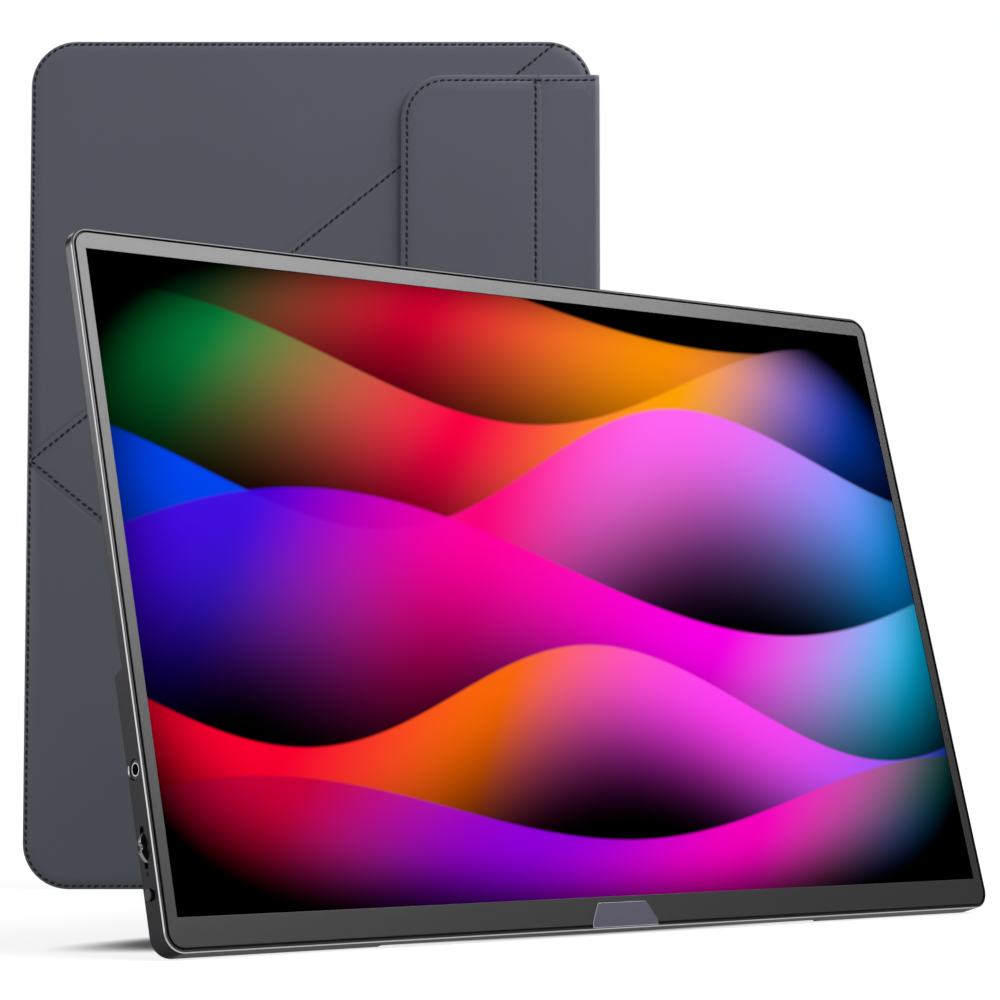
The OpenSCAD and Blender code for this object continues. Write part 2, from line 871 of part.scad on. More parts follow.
module speakers() {
    color([0.07, 0.07, 0.075])
        for (sx = [-1, 1])
            translate([sx * speaker_x, speaker_y, hump_z])
                difference() {
                    translate([-speaker_l / 2, -speaker_h / 2, 0])
                        cube([speaker_l, speaker_h, speaker_t]);
                    translate([0, 0, -cut])
                        linear_extrude(1 + cut)
                            stadium(speaker_l - 6, 8);
                }
}

module hinge_brackets() {
    knuckle_bottom = body_bottom + wall_t + 0.2;
    color([0.6, 0.61, 0.63])
        difference() {
            for (sx = [-1, 1])
                translate([sx > 0 ? bracket_x : -bracket_end, 0, hump_z]) {
                    translate([0, knuckle_bottom, 0])
                        cube([bracket_w, hinge_y + 3 - knuckle_bottom, bracket_h]);
                    translate([0, hinge_y, 0])
                        cube([bracket_w, bracket_top - hinge_y, bracket_leaf]);
                }
            translate([0, hinge_y, hinge_z])
                rod_x(-bracket_end - cut, bracket_end + cut, pin_r + 0.01);
            for (p = bracket_screws)
                translate([p[0], p[1], hump_z - cut])
                    cylinder(h = hump_t, r = screw_hole);
        }
}

module hinge_pins() {
    color([0.78, 0.78, 0.8])
        for (sx = [-1, 1])
            mirror([sx > 0 ? 0 : 1, 0, 0])
                translate([0, hinge_y, hinge_z])
                    rod_x(plate_w / 2 - pin_in_barrel, bracket_end, pin_r);
}

// A pan-head screw with its head's underside at z = 0.
module screw(head_r, head_t, length) {
    cylinder(h = head_t, r = head_r);
    translate([0, 0, -length])
        cylinder(h = length, r = screw_r);
}

module hinge_screws() {
    color([0.7, 0.7, 0.72])
        for (p = bracket_screws)
            translate([p[0], p[1], hump_z + bracket_leaf])
                screw(1.6, 0.5, bracket_leaf + 0.5);
}

module board_screws() {
    color([0.7, 0.7, 0.72])
        for (p = board_bosses)
            translate([p[0], p[1], board_z])
                screw(1.9, 0.7, board_z - hump_z + 0.4);
}

module case_screws() {
    color([0.12, 0.12, 0.13])
        for (p = case_points)
            translate([p[0], p[1], -hump_t + case_sunk])
                mirror([0, 0, 1])
                    difference() {
                        screw(case_head_r, case_head_t, 4);
                        translate([0, 0, case_head_t / 2])
                            cylinder(h = case_head_t, r = 0.7, $fn = 6);
                    }
}

module kickstand_plate() {
    color([0.3, 0.31, 0.32])
        difference() {
            union() {
                translate([-plate_w / 2, hinge_y, -hump_t])
                    cube([plate_w, plate_l - plate_corner, plate_t]);
                translate([0, hinge_y + plate_l / 2, -hump_t])
                    linear_extrude(plate_t)
                        round_rect(plate_w, plate_l, plate_corner);
                translate([0, hinge_y, hinge_z])
                    rod_x(-plate_w / 2, plate_w / 2, barrel_r);
            }
            for (sx = [-1, 1])
                mirror([sx > 0 ? 0 : 1, 0, 0])
                    translate([0, hinge_y, hinge_z])
                        rod_x(plate_w / 2 - pin_in_barrel - 0.3, plate_w / 2 + cut, pin_r + pin_play);
        }
}

module kickstand_pads() {
    color([0.06, 0.06, 0.065])
        for (at = [foot_pad_at, end_pad_at])
            translate([0, hinge_y + at, -hump_t - pad_t])
                linear_extrude(pad_t)
                    stadium(plate_w - 24, pad_w);
}

module power_button() {
    color([0.1, 0.1, 0.105])
        at_left(button_up) {
            rod_x(-button_out, wall_t, button_r);
            rod_x(wall_t, wall_t + flange_t, flange_r);
            rod_x(wall_t + flange_t, stem_end, stem_r);
        }
}

module jog_cradle() {
    color([0.2, 0.2, 0.21])
        translate([jog_x, body_bottom + jog_up, board_z]) {
            translate([jog_r - cradle_l - 0.1, -4, 0])
                cube([cradle_l, 8, cradle_t]);
            cylinder(h = -port_z + jog_t / 2 - board_z, r = jog_pin_r);
        }
}

module jog_wheel() {
    color([0.16, 0.16, 0.17])
        translate([jog_x, body_bottom + jog_up, -port_z - jog_t / 2])
            difference() {
                cylinder(h = jog_t, r = jog_r);
                translate([0, 0, -cut])
                    cylinder(h = jog_t + 2 * cut, r = jog_pin_r + pin_play);
                translate([-jog_r - 0.5, 0, -cut])
                    cylinder(h = jog_t + 2 * cut, r = 1.3);
            }
}

// One half plane beside a diagonal fold, on the corner side, a given distance off the fold.
module corner_side(off) {
    a = [0, panel_h / 2] + off * fold_side - 40 * fold_dir;
    b = [0, panel_h / 2] + off * fold_side + 2 * panel_h * fold_dir;
    polygon([a, b, b + panel_h * fold_side, a + panel_h * fold_side]);
}

module panel_outline(inset) {
    translate([panel_w / 2, panel_h / 2])
        round_rect(panel_w - 2 * inset, panel_h - 2 * inset, panel_r - inset);
}

// The leaf above the upper diagonal.
module upper_leaf(inset, off) {
    intersection() {
        panel_outline(inset);
        corner_side(off);
    }
}

// The leaf between the diagonals, which carries the spine.
module centre_leaf(inset, off) {
    difference() {
        panel_outline(inset);
        corner_side(-off);
        translate([0, panel_h])
            mirror([0, 1])
                corner_side(-off);
    }
}

// The mirror image below the middle of the cover.
module lower_half() {
    translate([0, panel_h, 0])
        mirror([0, 1, 0])
            children();
}

// Leather of a leaf, hollow where its board lies.
module leaf_skin(z, t) {
    color([0.33, 0.35, 0.38])
        difference() {
            translate([0, 0, z + lining_t])
                linear_extrude(t - lining_t)
                    children(0);
            translate([0, 0, z + lining_t - cut])
                linear_extrude(t - lining_t - skin_t + cut)
                    children(1);
        }
}

module leaf_board(z, t) {
    color([0.5, 0.42, 0.33])
        translate([0, 0, z + lining_t])
            linear_extrude(t - lining_t - skin_t)
                children();
}

module leaf_lining(z) {
    color([0.3, 0.32, 0.35])
        translate([0, 0, z])
            linear_extrude(lining_t)
                children();
}

// Places of the bar magnets in the centre leaf.
module bar_places() {
    for (v = [-1, 1])
        for (back = bar_from_spine)
            translate([panel_w - back, panel_h / 2 + v * bar_height])
                children();
}

// Places of the round magnets in the flap.
module disc_places() {
    pitch = (panel_h - 2 * flap_inset - 2 * flap_r) / (magnet_count - 1);
    for (k = [0 : magnet_count - 1])
        translate([flap_line - flap_w / 2, flap_inset + flap_r + k * pitch])
            children();
}

module centre_board() {
    leaf_board(0, panel_t)
        difference() {
            centre_leaf(border_w, border_w / 2);
            bar_places()
                square([bar_magnet[1], bar_magnet[0]], center = true);
        }
}

module centre_skin() {
    leaf_skin(0, panel_t) {
        centre_leaf(0, fold_gap / 2);
        centre_leaf(border_w, border_w / 2);
    }
}

module centre_lining() {
    leaf_lining(0)
        centre_leaf(0, fold_gap / 2);
}

module upper_board() {
    leaf_board(0, panel_t)
        upper_leaf(border_w, border_w / 2);
}

module upper_skin() {
    leaf_skin(0, panel_t) {
        upper_leaf(0, fold_gap / 2);
        upper_leaf(border_w, border_w / 2);
    }
}

module upper_lining() {
    leaf_lining(0)
        upper_leaf(0, fold_gap / 2);
}

module lower_board() {
    lower_half()
        upper_board();
}

module lower_skin() {
    lower_half()
        upper_skin();
}

module lower_lining() {
    lower_half()
        upper_lining();
}

// The strip between the spine and the flap's sewn line.
module strip_outline(inset) {
    translate([flap_line + fold_gap / 2 + inset, flap_inset + inset])
        square([strip_w - fold_gap - 2 * inset, panel_h - 2 * flap_inset - 2 * inset]);
}

// The free leaf of the flap, with two round corners.
module flap_outline(inset) {
    right = flap_line - fold_gap / 2 - inset;
    left = flap_line - flap_w + inset;
    low = flap_inset + inset;
    high = panel_h - flap_inset - inset;
    r = flap_r - inset;
    translate([left + r, low])
        square([right - left - r, high - low]);
    translate([left, low + r])
        square([r + cut, high - low - 2 * r]);
    for (v = [low + r, high - r])
        translate([left + r, v])
            circle(r);
}

module strip_board() {
    leaf_board(flap_z, flap_t)
        strip_outline(border_w);
}

module strip_skin() {
    leaf_skin(flap_z, flap_t) {
        strip_outline(0);
        strip_outline(border_w);
    }
}

module strip_lining() {
    leaf_lining(flap_z)
        strip_outline(0);
}

module flap_board() {
    leaf_board(flap_z, flap_t)
        difference() {
            flap_outline(border_w);
            disc_places()
                circle(magnet_r);
        }
}

module flap_skin() {
    leaf_skin(flap_z, flap_t) {
        flap_outline(0);
        flap_outline(border_w);
    }
}

module flap_lining() {
    leaf_lining(flap_z)
        flap_outline(0);
}

module spine_fold() {
    color([0.33, 0.35, 0.38])
        translate([spine_u, panel_h - flap_inset, spine_r])
            rotate([90, 0, 0])
                linear_extrude(panel_h - 2 * flap_inset)
                    difference() {
                        union() {
                            circle(spine_r);
                            translate([-fold_gap, -spine_r])
                                square([fold_gap, skin_t]);
                        }
                        circle(spine_r - skin_t);
                        translate([-2 * spine_r, -spine_r + skin_t])
                            square([2 * spine_r, 2 * spine_r]);
                        translate([-2 * spine_r, -spine_r - cut])
                            square([2 * spine_r - fold_gap, 2 * spine_r]);
                    }
}

module flap_magnets() {
    color([0.75, 0.75, 0.77])
        translate([0, 0, flap_z + lining_t])
            linear_extrude(flap_t - lining_t - skin_t)
                disc_places()
                    circle(magnet_r);
}

module panel_magnets() {
    color([0.75, 0.75, 0.77])
        translate([0, 0, lining_t])
            linear_extrude(panel_t - lining_t - skin_t)
                bar_places()
                    square([bar_magnet[1], bar_magnet[0]], center = true);
}

stand_up() rear_shell();
stand_up() mid_frame();
stand_up() bezel();
stand_up() chin_plate();
stand_up() lcd_cell();
stand_up() optical_sheets();
stand_up() light_guide();
stand_up() reflector_sheet();
stand_up() led_strip();
stand_up() panel_tray();
stand_up() panel_pads();
stand_up() panel_board();
stand_up() panel_cable();
stand_up() main_board();
stand_up() board_chips();
stand_up() board_shield();
stand_up() port_board();
stand_up() link_cable();
stand_up() usb_c_sockets();
stand_up() mini_hdmi_socket();
stand_up() headphone_jack();
stand_up() jack_ring();
stand_up() power_switch();
stand_up() jog_switch();
stand_up() light_pipe();
stand_up() speakers();
stand_up() hinge_brackets();
stand_up() hinge_pins();
stand_up() hinge_screws();
stand_up() board_screws();
stand_up() case_screws();
stand_up() swing_out() kickstand_plate();
stand_up() swing_out() kickstand_pads();
stand_up() power_button();
stand_up() jog_cradle();
stand_up() jog_wheel();
cover_up() centre_board();
cover_up() centre_skin();
cover_up() centre_lining();
cover_up() upper_board();
cover_up() upper_skin();
cover_up() upper_lining();
cover_up() lower_board();
cover_up() lower_skin();
cover_up() lower_lining();
cover_up() strip_board();
cover_up() strip_skin();
cover_up() strip_lining();
cover_up() flap_board();
cover_up() flap_skin();
cover_up() flap_lining();
cover_up() spine_fold();
cover_up() flap_magnets();
cover_up() panel_magnets();
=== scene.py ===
"""Portable monitor with its folio cover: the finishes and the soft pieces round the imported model.

The screen's own axes and the cover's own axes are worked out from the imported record, so every
piece lies where the model holds it. Lengths are in metres unless a name ends in _mm.
"""

import json
import logging
import math
from dataclasses import dataclass, field
from enum import Enum

import bmesh
import bpy
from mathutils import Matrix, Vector

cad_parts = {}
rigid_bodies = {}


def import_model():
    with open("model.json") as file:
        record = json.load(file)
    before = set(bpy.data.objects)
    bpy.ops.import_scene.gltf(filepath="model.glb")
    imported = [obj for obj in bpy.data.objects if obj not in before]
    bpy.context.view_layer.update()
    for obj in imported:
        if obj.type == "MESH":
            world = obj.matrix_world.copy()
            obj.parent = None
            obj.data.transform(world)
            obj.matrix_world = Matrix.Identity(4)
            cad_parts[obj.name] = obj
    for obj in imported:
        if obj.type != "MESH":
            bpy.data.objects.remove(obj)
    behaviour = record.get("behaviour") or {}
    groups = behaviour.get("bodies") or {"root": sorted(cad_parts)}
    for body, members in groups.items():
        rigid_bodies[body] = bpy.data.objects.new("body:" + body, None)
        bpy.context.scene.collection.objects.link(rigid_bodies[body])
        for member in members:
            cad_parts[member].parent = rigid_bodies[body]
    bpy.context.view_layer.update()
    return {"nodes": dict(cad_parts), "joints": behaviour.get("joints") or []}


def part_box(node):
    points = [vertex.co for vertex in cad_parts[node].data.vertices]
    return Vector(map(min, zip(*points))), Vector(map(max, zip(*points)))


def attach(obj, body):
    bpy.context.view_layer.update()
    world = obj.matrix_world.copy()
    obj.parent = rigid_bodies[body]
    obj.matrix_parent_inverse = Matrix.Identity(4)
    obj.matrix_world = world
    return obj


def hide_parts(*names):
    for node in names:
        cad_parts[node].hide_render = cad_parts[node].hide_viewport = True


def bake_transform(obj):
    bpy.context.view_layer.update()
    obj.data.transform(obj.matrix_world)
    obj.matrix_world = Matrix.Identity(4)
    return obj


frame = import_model()
MM = 0.001
BEZEL_TOP_MM = 5.6
DISPLAY_MM = (344.7, 215.4)
SHARP_DEG = 35.0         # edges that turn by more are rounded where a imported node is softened
SMOOTH_DEG = 50.0        # edges that turn by less are shaded smooth on lofted pieces
LOG = logging.getLogger("monitor_and_cover")

Point = tuple[float, float]
Place = tuple[float, float, float]
Color = tuple[float, float, float]
Line = tuple[Vector, Vector]


class Edge(Enum):
    """The kind of edge that a leaf of the cover has."""

    SEWN = "sewn"
    FOLD = "fold"


class Ramp(Enum):
    """How a colour ramp passes from one stop to the next."""

    LINEAR = "LINEAR"
    EASE = "EASE"


# Axes of the two halves of the set


@dataclass(frozen=True)
class Axes:
    """A flat drawing's own axes, placed in the row frame."""

    origin: Vector
    right: Vector
    up: Vector
    out: Vector

    def at(self, x_mm: float, y_mm: float, z_mm: float) -> Vector:
        """Place a drawn point in the row frame.

        Args:
            x_mm: distance to the right of the drawing's origin.
            y_mm: distance up the drawing.
            z_mm: distance out of the drawing, towards the viewer.

        Returns:
            The point in metres.
        """
        return self.origin + (self.right * x_mm + self.up * y_mm + self.out * z_mm) * MM


def joint(name: str) -> dict:
    """Return the record's joint of that name."""
    return next(j for j in frame["joints"] if j["name"] == name)


def screen_axes(bezel_top_mm: float, display_h_mm: float) -> Axes:
    """Work out the screen's axes from the jog wheel's axis and the bezel's mesh.

    Args:
        bezel_top_mm: bezel above the picture.
        display_h_mm: height of the picture.

    Returns:
        Axes with their origin at the picture's centre on the bezel's face.
    """
    out = Vector(joint("jog_turn")["axis"]).normalized()
    right = Vector((1.0, 0.0, 0.0))
    up = out.cross(right)
    corners = [v.co for v in frame["nodes"]["bezel"].data.vertices]
    top = max(c.dot(up) for c in corners)
    face = max(c.dot(out) for c in corners)
    middle = top - (bezel_top_mm + display_h_mm / 2) * MM
    return Axes(up * middle + out * face, right, up, out)


def cover_axes() -> Axes:
    """Work out the cover's axes from its two diagonal folds.

    Returns:
        Axes with their origin at the panel's lower left corner on its back face.
    """
    lower, upper = Vector(joint("lower_fold")["axis"]), Vector(joint("upper_fold")["axis"])
    right = (lower - upper).normalized()
    up = Vector((0.0, 0.0, 1.0))
    apex = Vector(joint("upper_fold")["pos_m"])
    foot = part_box("lower_skin")[0].z
    return Axes(Vector((apex.x, apex.y, foot)), right, up, right.cross(up))


# Flat outlines

STRETCH_MM = 4.0         # length of the pieces that a line of stitches is cut into
LEAST_MM = 0.02          # shorter steps along a stitched line are left out
FOLD_INSET_MM = 0.3      # how far a stitched line stops short of a fold
FARTHEST_MM = 600.0      # longer than any line inside an outline


def between(a: Point, b: Point, share: float) -> Point:
    """Return the point that lies a share of the way from a to b."""
    return a[0] + (b[0] - a[0]) * share, a[1] + (b[1] - a[1]) * share


def arc(cx: float, cy: float, r: float, start: float, turn: float, steps: int) -> list[Point]:
    """Return points along an arc, both ends included.

    Args:
        cx: centre's x.
        cy: centre's y.
        r: radius.
        start: first angle in degrees.
        turn: angle covered in degrees.
        steps: number of stretches.

    Returns:
        The points in order.
    """
    angles = [math.radians(start + turn * k / steps) for k in range(steps + 1)]
    return [(cx + r * math.cos(a), cy + r * math.sin(a)) for a in angles]


def round_rect(x0: float, y0: float, x1: float, y1: float, radii: tuple[float, ...], steps: int = 12) -> list[Point]:
    """Return a rectangle's outline with its own radius at each corner.

    Args:
        x0: left side.
        y0: lower side.
        x1: right side.
        y1: upper side.
        radii: radius at the lower left, lower right, upper right and upper left corner.
        steps: stretches of each rounded corner.

    Returns:
        The points, anticlockwise.
    """
    corners = [(x0, y0, 1, 1, 180), (x1, y0, -1, 1, 270), (x1, y1, -1, -1, 0), (x0, y1, 1, -1, 90)]
    points: list[Point] = []
    for (x, y, sx, sy, start), r in zip(corners, radii):
        if r > 0:
            points += arc(x + sx * r, y + sy * r, r, start, 90, steps)
        else:
            points.append((x, y))
    return points


@dataclass
class Outline:
    """A closed anticlockwise outline; edge k runs from point k to the next one."""

    points: list[Point]
    kinds: list[Edge]

    def cut_by(self, a: Point, b: Point) -> "Outline":
        """Keep what lies to the left of the line from a to b, and mark the cut as a fold.

        Args:
            a: one point of the line.
            b: another point of the line.

        Returns:
            The part that is kept.
        """
        dx, dy = b[0] - a[0], b[1] - a[1]
        side = [dx * (p[1] - a[1]) - dy * (p[0] - a[0]) for p in self.points]
        points: list[Point] = []
        kinds: list[Edge] = []
        count = len(self.points)
        for k in range(count):
            p, q = self.points[k], self.points[(k + 1) % count]
            s, t = side[k], side[(k + 1) % count]
            if s >= 0:
                points.append(p)
                kinds.append(self.kinds[k])
            if s * t < 0:
                points.append(between(p, q, s / (s - t)))
                kinds.append(Edge.FOLD if s >= 0 else self.kinds[k])
        return Outline(points, kinds)

    def inset(self, sewn: float, fold: float) -> list[Point]:
        """Move each edge inwards by the distance of its kind, and drop the edges that this turns round.

        Args:
            sewn: distance for a sewn edge.
            fold: distance for a fold edge.

        Returns:
            One point for each point of the outline.
        """
        count = len(self.points)
        lines: list[Line] = []
        for k in range(count):
            p, q = Vector(self.points[k]), Vector(self.points[(k + 1) % count])
            run = (q - p).normalized()
            shift = sewn if self.kinds[k] is Edge.SEWN else fold
            lines.append((p + Vector((-run.y, run.x)) * shift, run))
        alive = list(range(count))
        while True:
            met = [self.meet(lines[alive[i - 1]], lines[alive[i]]) for i in range(len(alive))]
            lengths = [(met[(i + 1) % len(alive)] - met[i]).dot(lines[alive[i]][1]) for i in range(len(alive))]
            worst = min(range(len(alive)), key=lengths.__getitem__)
            if lengths[worst] >= -1e-6 or len(alive) < 4:
                break
            del alive[worst]
        result: list[Point] = []
        for k in range(count):
            following = next((i for i, a in enumerate(alive) if a >= k), 0)
            result.append((met[following].x, met[following].y))
        return result

    @staticmethod
    def meet(first: Line, second: Line) -> Vector:
        """Return where two moved edges meet.

        Args:
            first: point and direction of the first edge.
            second: the same of the edge after it.

        Returns:
            The point.
        """
        (p, d), (q, e) = first, second
        cross = d.x * e.y - d.y * e.x
        if abs(cross) < 1e-4:
            return q.copy()
        return p + d * (((q.x - p.x) * e.y - (q.y - p.y) * e.x) / cross)

    def sewn_runs(self, distance: float) -> list[list[Point]]:
        """Return the lines along which the sewn edges are stitched.

        Args:
            distance: how far in from the edge the thread runs.

        Returns:
            One list of points for each unbroken stretch of sewn edge.
        """
        inner = self.inset(distance, FOLD_INSET_MM)
        count = len(self.points)
        start = next((k for k in range(count) if self.kinds[k - 1] is Edge.FOLD), 0)
        runs: list[list[Point]] = []
        current: list[Point] = []
        for step in range(count):
            k = (start + step) % count
            if self.kinds[k] is Edge.SEWN:
                current = current or [inner[k]]
                here, ahead = current[-1], inner[(k + 1) % count]
                gap = math.dist(here, ahead)
                parts = max(1, round(gap / STRETCH_MM))
                if gap > LEAST_MM:
                    run_x, run_y = ahead[0] - here[0], ahead[1] - here[1]
                    current += [(here[0] + run_x * i / parts, here[1] + run_y * i / parts)
                                for i in range(1, parts + 1)]
            elif current:
                runs.append(current)
                current = []
        return runs + ([current] if current else [])


@dataclass(frozen=True)
class Slab:
    """A rectangle with round corners, asked how deep a point lies inside it."""

    low: Point
    high: Point
    radius: float

    def depth(self, x: float, y: float) -> float:
        """Return the distance of a point from the edge, positive inside.

        Args:
            x: the point's x.
            y: the point's y.

        Returns:
            The distance in millimetres.
        """
        (x0, y0), (x1, y1), r = self.low, self.high, self.radius
        across = abs(x - (x0 + x1) / 2) - ((x1 - x0) / 2 - r)
        along = abs(y - (y0 + y1) / 2) - ((y1 - y0) / 2 - r)
        return r - math.hypot(max(across, 0.0), max(along, 0.0)) - min(max(across, along), 0.0)

    def leave(self, start: Point, run: Point, depth: float) -> Point:
        """Return where a line from inside comes within a depth of the edge.

        Args:
            start: a point inside.
            run: unit direction of the line.
            depth: the depth looked for.

        Returns:
            The point.
        """
        near, far = 0.0, FARTHEST_MM
        for _ in range(40):
            s = (near + far) / 2
            inside = self.depth(start[0] + run[0] * s, start[1] + run[1] * s) > depth
            near, far = (s, far) if inside else (near, s)
        return start[0] + run[0] * near, start[1] + run[1] * near


# Meshes


def linked(name: str, data: bpy.types.ID) -> bpy.types.Object:
    """Make an object that holds some data, and link it to the scene.

    Args:
        name: the object's name.
        data: its mesh, lamp or camera.

    Returns:
        The object.
    """
    obj = bpy.data.objects.new(name, data)
    bpy.context.scene.collection.objects.link(obj)
    return obj


def dress(mesh: bpy.types.Mesh, material: bpy.types.Material) -> None:
    """Give a mesh one material, in place of any that it has."""
    mesh.materials.clear()
    mesh.materials.append(material)


def new_object(name: str, verts: list[Vector], faces: list[tuple[int, ...]]) -> bpy.types.Object:
    """Make a mesh object at the origin, with its faces pointing outwards.

    Args:
        name: the piece's name.
        verts: points in the row frame.
        faces: lists of point numbers.

    Returns:
        The object, linked to the scene.
    """
    mesh = bpy.data.meshes.new(name)
    mesh.from_pydata([tuple(v) for v in verts], [], faces)
    tidy = bmesh.new()
    tidy.from_mesh(mesh)
    bmesh.ops.remove_doubles(tidy, verts=tidy.verts, dist=1e-7)
    bmesh.ops.recalc_face_normals(tidy, faces=tidy.faces)
    tidy.to_mesh(mesh)
    tidy.free()
    return linked(name, mesh)


def loft(name: str, axes: Axes, rings: list[list[Place]]) -> bpy.types.Object:
    """Skin a row of rings that have equally many points, and cap both ends.

    Args:
        name: the piece's name.
        axes: the drawing's axes.
        rings: each ring's points in millimetres.

    Returns:
        The object.
    """
    verts = [axes.at(*p) for ring in rings for p in ring]
    n = len(rings[0])
    faces: list[tuple[int, ...]] = []
    for low in range(0, (len(rings) - 1) * n, n):
        for k in range(n):
            following = (k + 1) % n
            faces.append((low + k, low + following, low + n + following, low + n + k))
    faces.append(tuple(reversed(range(n))))
    faces.append(tuple((len(rings) - 1) * n + k for k in range(n)))
    return new_object(name, verts, faces)


def smooth(obj: bpy.types.Object, angle: float = SMOOTH_DEG) -> bpy.types.Object:
    """Shade a piece smooth and keep its sharp edges.

    Args:
        obj: the piece.
        angle: edges that turn by more than this many degrees stay sharp.

    Returns:
        The same piece.
    """
    obj.data.shade_smooth()
    obj.data.set_sharp_from_angle(angle=math.radians(angle))
    return obj


def softened_copy(name: str, node: str, width_mm: float, segments: int = 2) -> bpy.types.Object:
    """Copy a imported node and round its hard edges.

    Args:
        name: the copy's name.
        node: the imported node.
        width_mm: width of the rounding.
        segments: facets across the rounding.

    Returns:
        The copy.
    """
    work = bmesh.new()
    work.from_mesh(frame["nodes"][node].data)
    bmesh.ops.remove_doubles(work, verts=work.verts, dist=2e-6)
    bmesh.ops.dissolve_limit(work, angle_limit=math.radians(0.5), verts=work.verts, edges=work.edges)
    hard = [e for e in work.edges if len(e.link_faces) == 2 and e.calc_face_angle(0) > math.radians(SHARP_DEG)]
    bmesh.ops.bevel(work, geom=hard, offset=width_mm * MM, segments=segments, profile=0.5, affect="EDGES",
                    clamp_overlap=True)
    mesh = bpy.data.meshes.new(name)
    work.to_mesh(mesh)
    work.free()
    obj = linked(name, mesh)
    sums = [Vector() for _ in obj.data.vertices]
    for face in obj.data.polygons:
        for v in face.vertices:
            sums[v] += face.normal * face.area
    obj.data.shade_smooth()
    obj.data.normals_split_custom_set_from_vertices([tuple(n.normalized()) for n in sums])
    return obj


# Shader building


class Tree:
    """A thin helper that adds nodes to one node tree."""

    def __init__(self, tree: bpy.types.NodeTree) -> None:
        """Hold the tree that nodes are added to."""
        self.tree = tree

    def add(self, kind: str, values: dict | None = None, **settings: object) -> bpy.types.Node:
        """Add a node.

        Args:
            kind: the node's type name.
            values: input name or number to a value, or to a socket that feeds it.
            settings: properties of the node.

        Returns:
            The node.
        """
        node = self.tree.nodes.new(kind)
        for key, value in settings.items():
            setattr(node, key, value)
        self.fill(node, values or {})
        return node

    def feed(self, socket: bpy.types.NodeSocket, value: object) -> None:
        """Link a socket to an input, or set the input's own value.

        Args:
            socket: the input.
            value: a socket that feeds it, or its value; a colour may be given without its alpha.
        """
        if isinstance(value, bpy.types.NodeSocket):
            self.tree.links.new(value, socket)
        elif isinstance(value, tuple) and len(value) == 3 and socket.type == "RGBA":
            socket.default_value = (*value, 1.0)
        else:
            socket.default_value = value

    def fill(self, node: bpy.types.Node, values: dict) -> None:
        """Feed several inputs of a node, each by its name or number."""
        for key, value in values.items():
            self.feed(node.inputs[key], value)

    def find(self, kind: str) -> bpy.types.Node:
        """Return the tree's node of that type."""
        return next(n for n in self.tree.nodes if n.type == kind)

    def math(self, operation: str, a: object, b: object = 0.0) -> bpy.types.NodeSocket:
        """Return the result of one sum.

        Args:
            operation: the Math node's operation.
            a: first value or socket.
            b: second value or socket.

        Returns:
            The result's socket.
        """
        return self.add("ShaderNodeMath", {0: a, 1: b}, operation=operation).outputs[0]

    def vector(self, operation: str, *values: object) -> bpy.types.Node:
        """Return a Vector Math node that is fed with the given values in order."""
        return self.add("ShaderNodeVectorMath", dict(enumerate(values)), operation=operation)

    def mix(self, factor: object, a: object, b: object) -> bpy.types.NodeSocket:
        """Return a mix of two colours.

        Args:
            factor: share of the second colour.
            a: first colour or socket.
            b: second colour or socket.

        Returns:
            The mixed colour's socket.
        """
        return self.add("ShaderNodeMix", {"Factor": factor, 6: a, 7: b}, data_type="RGBA").outputs[2]

    def ramp(self, factor: object, stops: list[tuple[float, Color]], kind: Ramp = Ramp.LINEAR) -> bpy.types.NodeSocket:
        """Return the colour that a ramp has at a factor.

        Args:
            factor: place on the ramp.
            stops: place and colour of each stop.
            kind: how the ramp passes between stops.

        Returns:
            The colour's socket.
        """
        node = self.add("ShaderNodeValToRGB", {0: factor})
        node.color_ramp.interpolation = kind.value
        elements = node.color_ramp.elements
        while len(elements) < len(stops):
            elements.new(0.5)
        for element, (place, color) in zip(elements, stops):
            element.position = place
            element.color = (*color, 1.0)
        return node.outputs["Color"]

    def smoothstep(self, value: object, low: float, high: float) -> bpy.types.NodeSocket:
        """Return a value eased from 0 to 1.

        Args:
            value: the value or socket.
            low: where the result is 0.
            high: where it is 1, above or below low.

        Returns:
            The eased value's socket.
        """
        node = self.add("ShaderNodeMapRange", {"Value": value, "From Min": low, "From Max": high},
                        interpolation_type="SMOOTHSTEP")
        return node.outputs["Result"]


def new_material(name: str) -> tuple[bpy.types.Material, Tree, bpy.types.Node]:
    """Make a material.

    Args:
        name: the material's name.

    Returns:
        The material, its tree helper and its Principled shader.
    """
    material = bpy.data.materials.new(name)
    material.use_nodes = True
    t = Tree(material.node_tree)
    return material, t, t.find("BSDF_PRINCIPLED")


def shader_group(name: str, inputs: list[tuple[str, str, object]],
                 outputs: list[tuple[str, str]]) -> tuple[Tree, bpy.types.Node, bpy.types.Node]:
    """Start a shader node group.

    Args:
        name: the group's name.
        inputs: name, socket type and default value of each input.
        outputs: name and socket type of each output.

    Returns:
        The tree helper, the group's input node and its output node.
    """
    tree = bpy.data.node_groups.new(name, "ShaderNodeTree")
    for label, kind, value in inputs:
        socket = tree.interface.new_socket(label, in_out="INPUT", socket_type=kind)
        socket.default_value = value
    for label, kind in outputs:
        tree.interface.new_socket(label, in_out="OUTPUT", socket_type=kind)
    return Tree(tree), tree.nodes.new("NodeGroupInput"), tree.nodes.new("NodeGroupOutput")


